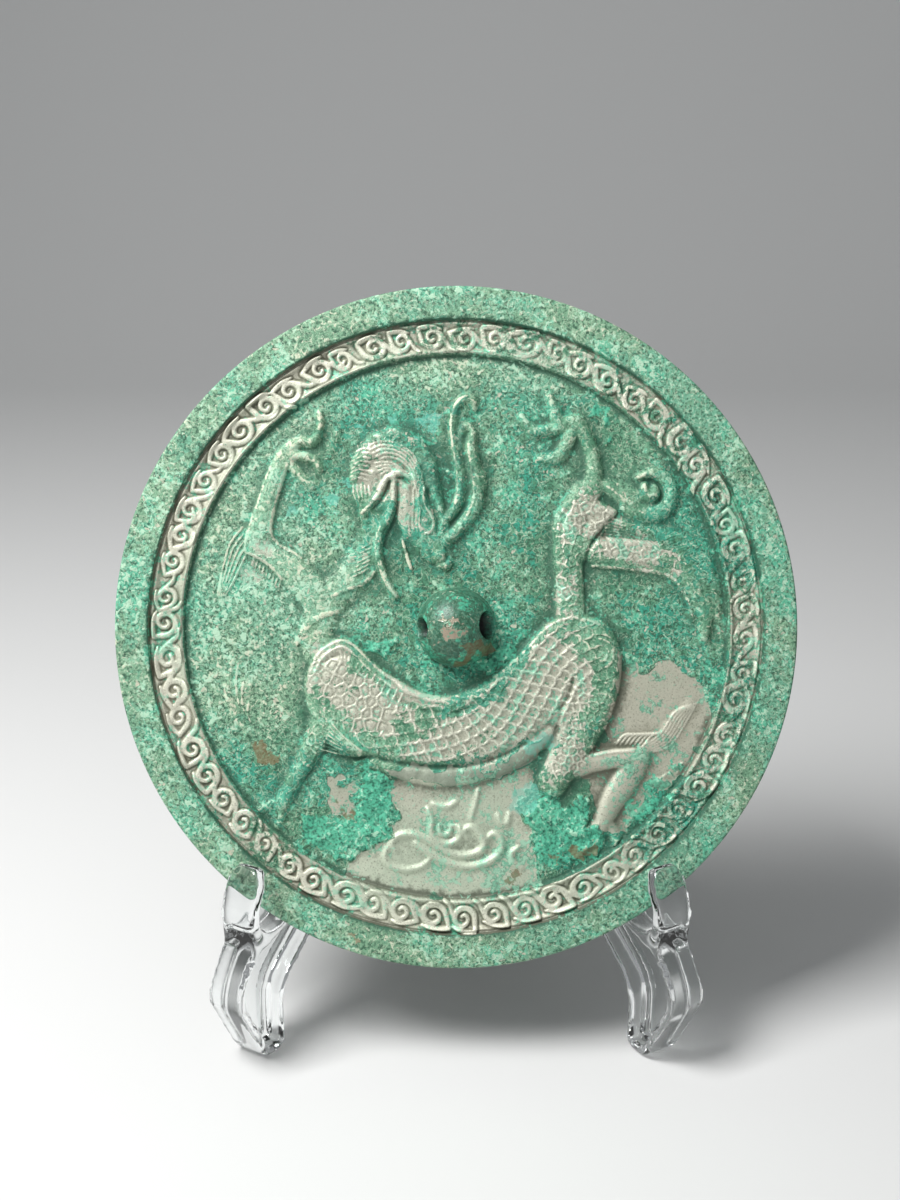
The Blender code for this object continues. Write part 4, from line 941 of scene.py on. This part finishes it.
def bronze_material():
    """Green patina with pale and dark specks, worn through to grey metal, with crust and earth, and with
    painted highlight and shade on the relief and in the cord hole.
    """
    s = Surface("patinated bronze")
    grit = s.noise(0.0005, 2, 0.6, seed=1)
    fine = s.noise(0.0009, 3, 0.6, seed=2)
    speck = s.noise(0.0015, 3, 0.6, 0.6, seed=3)
    cell = s.noise(0.0024, 2, 0.5, 0.8, seed=4)
    cloud = s.noise(0.008, 3, 0.6, 0.6, seed=5)
    drift = s.noise(0.03, 2, 0.5, seed=6)
    ridge, shaded_hollow, rim = s.field("ridge"), s.field("shaded_hollow"), s.field("rim")
    raised, knob, rubbed_and_highlight = s.field("raised"), s.field("knob"), s.field("rubbed_and_highlight")
    smooth = s.field("smooth")
    pale = s.field("pale") * 0.75 + rim * 0.6 + raised * 0.12

    green = s.mix(cloud.between(0.36, 0.64), linear(74, 136, 104), linear(128, 178, 144))
    green = s.mix((drift + cell * 0.6).between(0.72, 0.88) * 0.8, green, linear(44, 160, 134))
    green = s.mix(pale * 0.62, green, linear(166, 200, 164))
    green = s.mix(knob.most(smooth) * 0.85, green, linear(56, 106, 86))
    even = 1 - (smooth * 0.6).most(raised * 0.4)
    green = s.mix(fine.between(0.56, 0.34) * even * 0.9, green, linear(34, 78, 56))
    rings = (cell - 0.5).size().between(0.035, 0.01)
    green = s.mix(rings * (0.45 - knob * 0.3 - smooth * 0.3), green, linear(190, 212, 182))
    lines = ((speck - 0.46).size() + (fine - 0.5) * 0.1).between(0.035, 0.008)
    green = s.mix(lines * even * (0.8 - rim * 0.3), green, linear(44, 84, 62))
    chalk = (pale - 0.35) * 0.1 + (cloud - 0.5) * 0.4 - knob * 0.12 - smooth * 0.16
    # Pale specks, with more of them on fine ridges, where they are a painted highlight
    light = (speck + (ridge - 0.5) * 0.45 + chalk).between(0.55, 0.66)
    green = s.mix(light * 0.9, green, linear(214, 216, 190))
    chips = cell.between(0.62, 0.66) * cloud.between(0.48, 0.56)
    green = s.mix(chips * 0.8, green, linear(206, 200, 178))
    # Painted shade in the hollows of the patina
    green = s.mix((shaded_hollow + (fine - 0.5) * 0.8).between(0.52, 0.9) * 0.85, green, linear(40, 84, 64))

    # Metal painted lighter on fine ridges and darker beside them: painted highlight and shade
    metal = s.mix(ridge.between(0.15, 0.85), linear(132, 131, 112), linear(222, 221, 202))
    metal = s.mix(s.field("pale") * 0.7, metal, linear(206, 218, 194))
    metal = s.mix((drift - cell * 0.3).between(0.3, 0.5) * 0.35, metal, linear(150, 170, 146))
    # Rubbed metal and the rim a little lighter; on the knob this is a painted highlight
    metal = s.mix(rubbed_and_highlight.most(rim) * 0.22, metal, linear(220, 226, 206))
    metal = s.mix(lines * rubbed_and_highlight * 0.55, metal, linear(112, 116, 98))
    metal = s.mix(grit.between(0.47, 0.3) * 0.6, metal, linear(104, 102, 88))
    # Painted shade in the hollows of the metal
    metal = s.mix((shaded_hollow + (fine - 0.5) * 0.4).between(0.54, 0.85) * 0.8, metal, linear(74, 80, 64))
    metal = s.mix(s.field("belly").between(0.3, 0.7) * 0.7, metal, linear(138, 148, 132))
    metal = s.mix(knob * 0.8, metal, linear(166, 148, 128))
    uneven = (speck - 0.5) * 0.8 + (cloud - 0.5) * 1.1 + (cell - 0.5) * 0.5
    worn = (s.field("bare") + uneven * 0.6).between(0.46, 0.6)
    # Worn to metal where rubbed, on raised forms and on ridges; on the knob the rubbed patch is a painted
    # highlight
    bright = (rubbed_and_highlight * 0.62 + raised * 0.14 + uneven * 1.3 + (ridge - 0.5) * 0.45).between(0.4, 0.58)
    edges = (ridge + uneven * 0.5).between(0.62, 0.86)
    worn = worn.most(bright).most(edges * (rubbed_and_highlight * 0.3 + pale * 0.35 + 0.15))
    worn = worn.most(s.field("belly").between(0.4, 0.6) * 0.9)

    emerald = s.mix(fine.between(0.3, 0.6), linear(12, 88, 70), linear(80, 186, 150))
    emerald = s.mix(light * 0.85, emerald, linear(166, 216, 186))
    crusted = (s.field("crust") + uneven * 1.5).between(0.46, 0.64)
    loose = (cloud + speck * 0.8 + drift * 0.3 + rim * 0.04).between(1.1, 1.18)
    turquoise = (s.field("turquoise") + uneven * 1.6).between(0.5, 0.7)
    earth = (s.field("earth") * (1 + knob * 0.5) + uneven * 1.6).between(0.5, 0.74)

    color = s.mix(worn, green, metal)
    color = s.mix(loose * 0.7, color, emerald)
    color = s.mix(crusted * 0.8, color, emerald)
    color = s.mix(turquoise * 0.45, color, linear(110, 196, 176))
    color = s.mix(earth * 0.7, color, linear(116, 92, 56))
    # Painted shade inside the cord hole: near black
    color = s.mix(s.field("bore"), color, linear(16, 24, 20))
    back = s.mix((drift + cloud).between(0.9, 1.12), linear(128, 124, 112), linear(96, 140, 120))
    color = s.mix(s.field("back"), color, back)

    rough = fine * 0.5 + speck + grit * 0.4
    s.set(Base_Color=color, Roughness=(0.66 - worn * 0.16) - knob * 0.26, Metallic=worn * 0.25,
          Normal=s.bump(rough * (1 - worn * 0.55) * (1 - knob * 0.5), 0.0004, 0.8))
    return s.material


def plastic_material():
    """Clear colourless plastic."""
    s = Surface("clear plastic")
    s.set(Base_Color=(0.96, 0.98, 0.98, 1), Roughness=0.03, IOR=1.49, Transmission_Weight=1.0)
    return s.material


def stage_material():
    s = Surface("pale floor")
    s.set(Base_Color=(0.72, 0.72, 0.71, 1), Roughness=0.9)
    return s.material


def bronze_mirror():
    """The carved disc, in place of the plainer solid."""
    maps = carve_maps()
    disc = mirror_mesh(maps)
    write_fields(disc.data, maps)
    disc.data.transform(mirror_place() @ Matrix.Scale(MM, 4))
    disc.data.materials.clear()
    disc.data.materials.append(bronze_material())
    disc.data.polygons.foreach_set("use_smooth", [True] * len(disc.data.polygons))
    disc.name = "carved_mirror"
    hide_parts("bronze_mirror")
    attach(disc, "root")
    return disc


def round_tips(mesh):
    """Narrow the two hooks towards their tips, so that they end as round tongues."""
    into_mirror = mirror_place().inverted()
    for side in (-1, 1):
        across = Vector((math.cos(FRAME_YAW), side * math.sin(FRAME_YAW), 0))
        tip = [vertex for vertex in mesh.vertices if vertex.co.x * side > 0
               and HOOK_TOP - TIP_LENGTH < vertex.co.z / MM < HOOK_TOP + 1
               and (into_mirror @ vertex.co).z > RIM_THICKNESS * MM]
        middle = sum((vertex.co for vertex in tip), Vector()) / len(tip)
        for vertex in tip:
            share = min(1, (vertex.co.z / MM - HOOK_TOP + TIP_LENGTH) / TIP_LENGTH)
            away = (vertex.co - middle).dot(across)
            vertex.co += across * away * (math.sqrt(1 - TIP_NARROWING * share ** 2) - 1)


def clear_stand(nodes):
    """The stand with the soft edges of moulded plastic, in place of the sharp solid."""
    stand = shown("moulded_stand", nodes["clear_stand"].data.copy())
    cells = stand.modifiers.new("cells", "REMESH")
    cells.mode = "VOXEL"
    cells.voxel_size = STAND_CELL * MM
    soften = stand.modifiers.new("soften", "SMOOTH")
    soften.factor = 0.5
    soften.iterations = STAND_SOFTENING
    stand = evaluated(stand, "moulded_stand")
    round_tips(stand.data)
    stand.data.materials.clear()
    stand.data.materials.append(plastic_material())
    stand.data.polygons.foreach_set("use_smooth", [True] * len(stand.data.polygons))
    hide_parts("clear_stand")
    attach(stand, "root")
    return stand


# The camera stands square to the carved side, and the light is soft and from the upper left
CAMERA_DISTANCE = 450.0
CAMERA_RIGHT = -1.8
CAMERA_UP = 7.9
LENS = 45.87


def stage():
    """A pale floor that curves up behind, a soft key light, a pale sky and the camera."""
    profile = [(-1.5, 0)]
    for i in range(13):
        angle = math.pi / 2 * i / 12
        profile.append((0.9 + 0.6 * math.sin(angle), 0.6 - 0.6 * math.cos(angle)))
    profile.append((1.5, 3.0))
    bm = bmesh.new()
    rows = [[bm.verts.new((x, y, z)) for x in (-3, 3)] for y, z in profile]
    for (a, b), (c, d) in zip(rows[:-1], rows[1:]):
        bm.faces.new((a, b, d, c))
    mesh = bpy.data.meshes.new("backdrop")
    bm.to_mesh(mesh)
    bm.free()
    floor = shown("backdrop", mesh)
    mesh.materials.append(stage_material())
    mesh.polygons.foreach_set("use_smooth", [True] * len(mesh.polygons))

    place = mirror_place()
    middle = place @ Vector((0, 0, 3 * MM))
    key = bpy.data.lights.new("key", "AREA")
    key.energy = 8.5
    key.shape = "RECTANGLE"
    key.size = 0.35
    key.size_y = 0.35
    light = bpy.data.objects.new("key", key)
    light.location = place @ Vector((-0.38, 0.5, 0.42))
    light.rotation_euler = (middle - light.location).to_track_quat("-Z", "Y").to_euler()
    bpy.context.scene.collection.objects.link(light)

    bpy.context.scene.view_settings.view_transform = "Standard"
    world = bpy.data.worlds.new("soft sky")
    world.use_nodes = True
    world.node_tree.nodes["Background"].inputs["Color"].default_value = (0.94, 0.97, 1, 1)
    world.node_tree.nodes["Background"].inputs["Strength"].default_value = 0.3
    bpy.context.scene.world = world

    lens = bpy.data.cameras.new("camera")
    lens.lens = LENS
    lens.sensor_width = 36
    camera = bpy.data.objects.new("camera", lens)
    away = Vector((CAMERA_RIGHT, CAMERA_UP, 3 + CAMERA_DISTANCE)) * MM
    camera.matrix_world = place @ Matrix.Translation(away)
    bpy.context.scene.collection.objects.link(camera)
    bpy.context.scene.camera = camera


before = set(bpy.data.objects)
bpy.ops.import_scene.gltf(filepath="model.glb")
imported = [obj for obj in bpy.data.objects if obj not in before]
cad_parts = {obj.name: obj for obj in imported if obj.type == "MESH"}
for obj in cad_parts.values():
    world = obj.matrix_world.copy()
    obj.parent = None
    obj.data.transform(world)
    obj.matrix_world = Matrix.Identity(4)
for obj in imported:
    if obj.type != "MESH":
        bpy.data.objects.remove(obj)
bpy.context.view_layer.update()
bronze_mirror()
clear_stand(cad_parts)
stage()
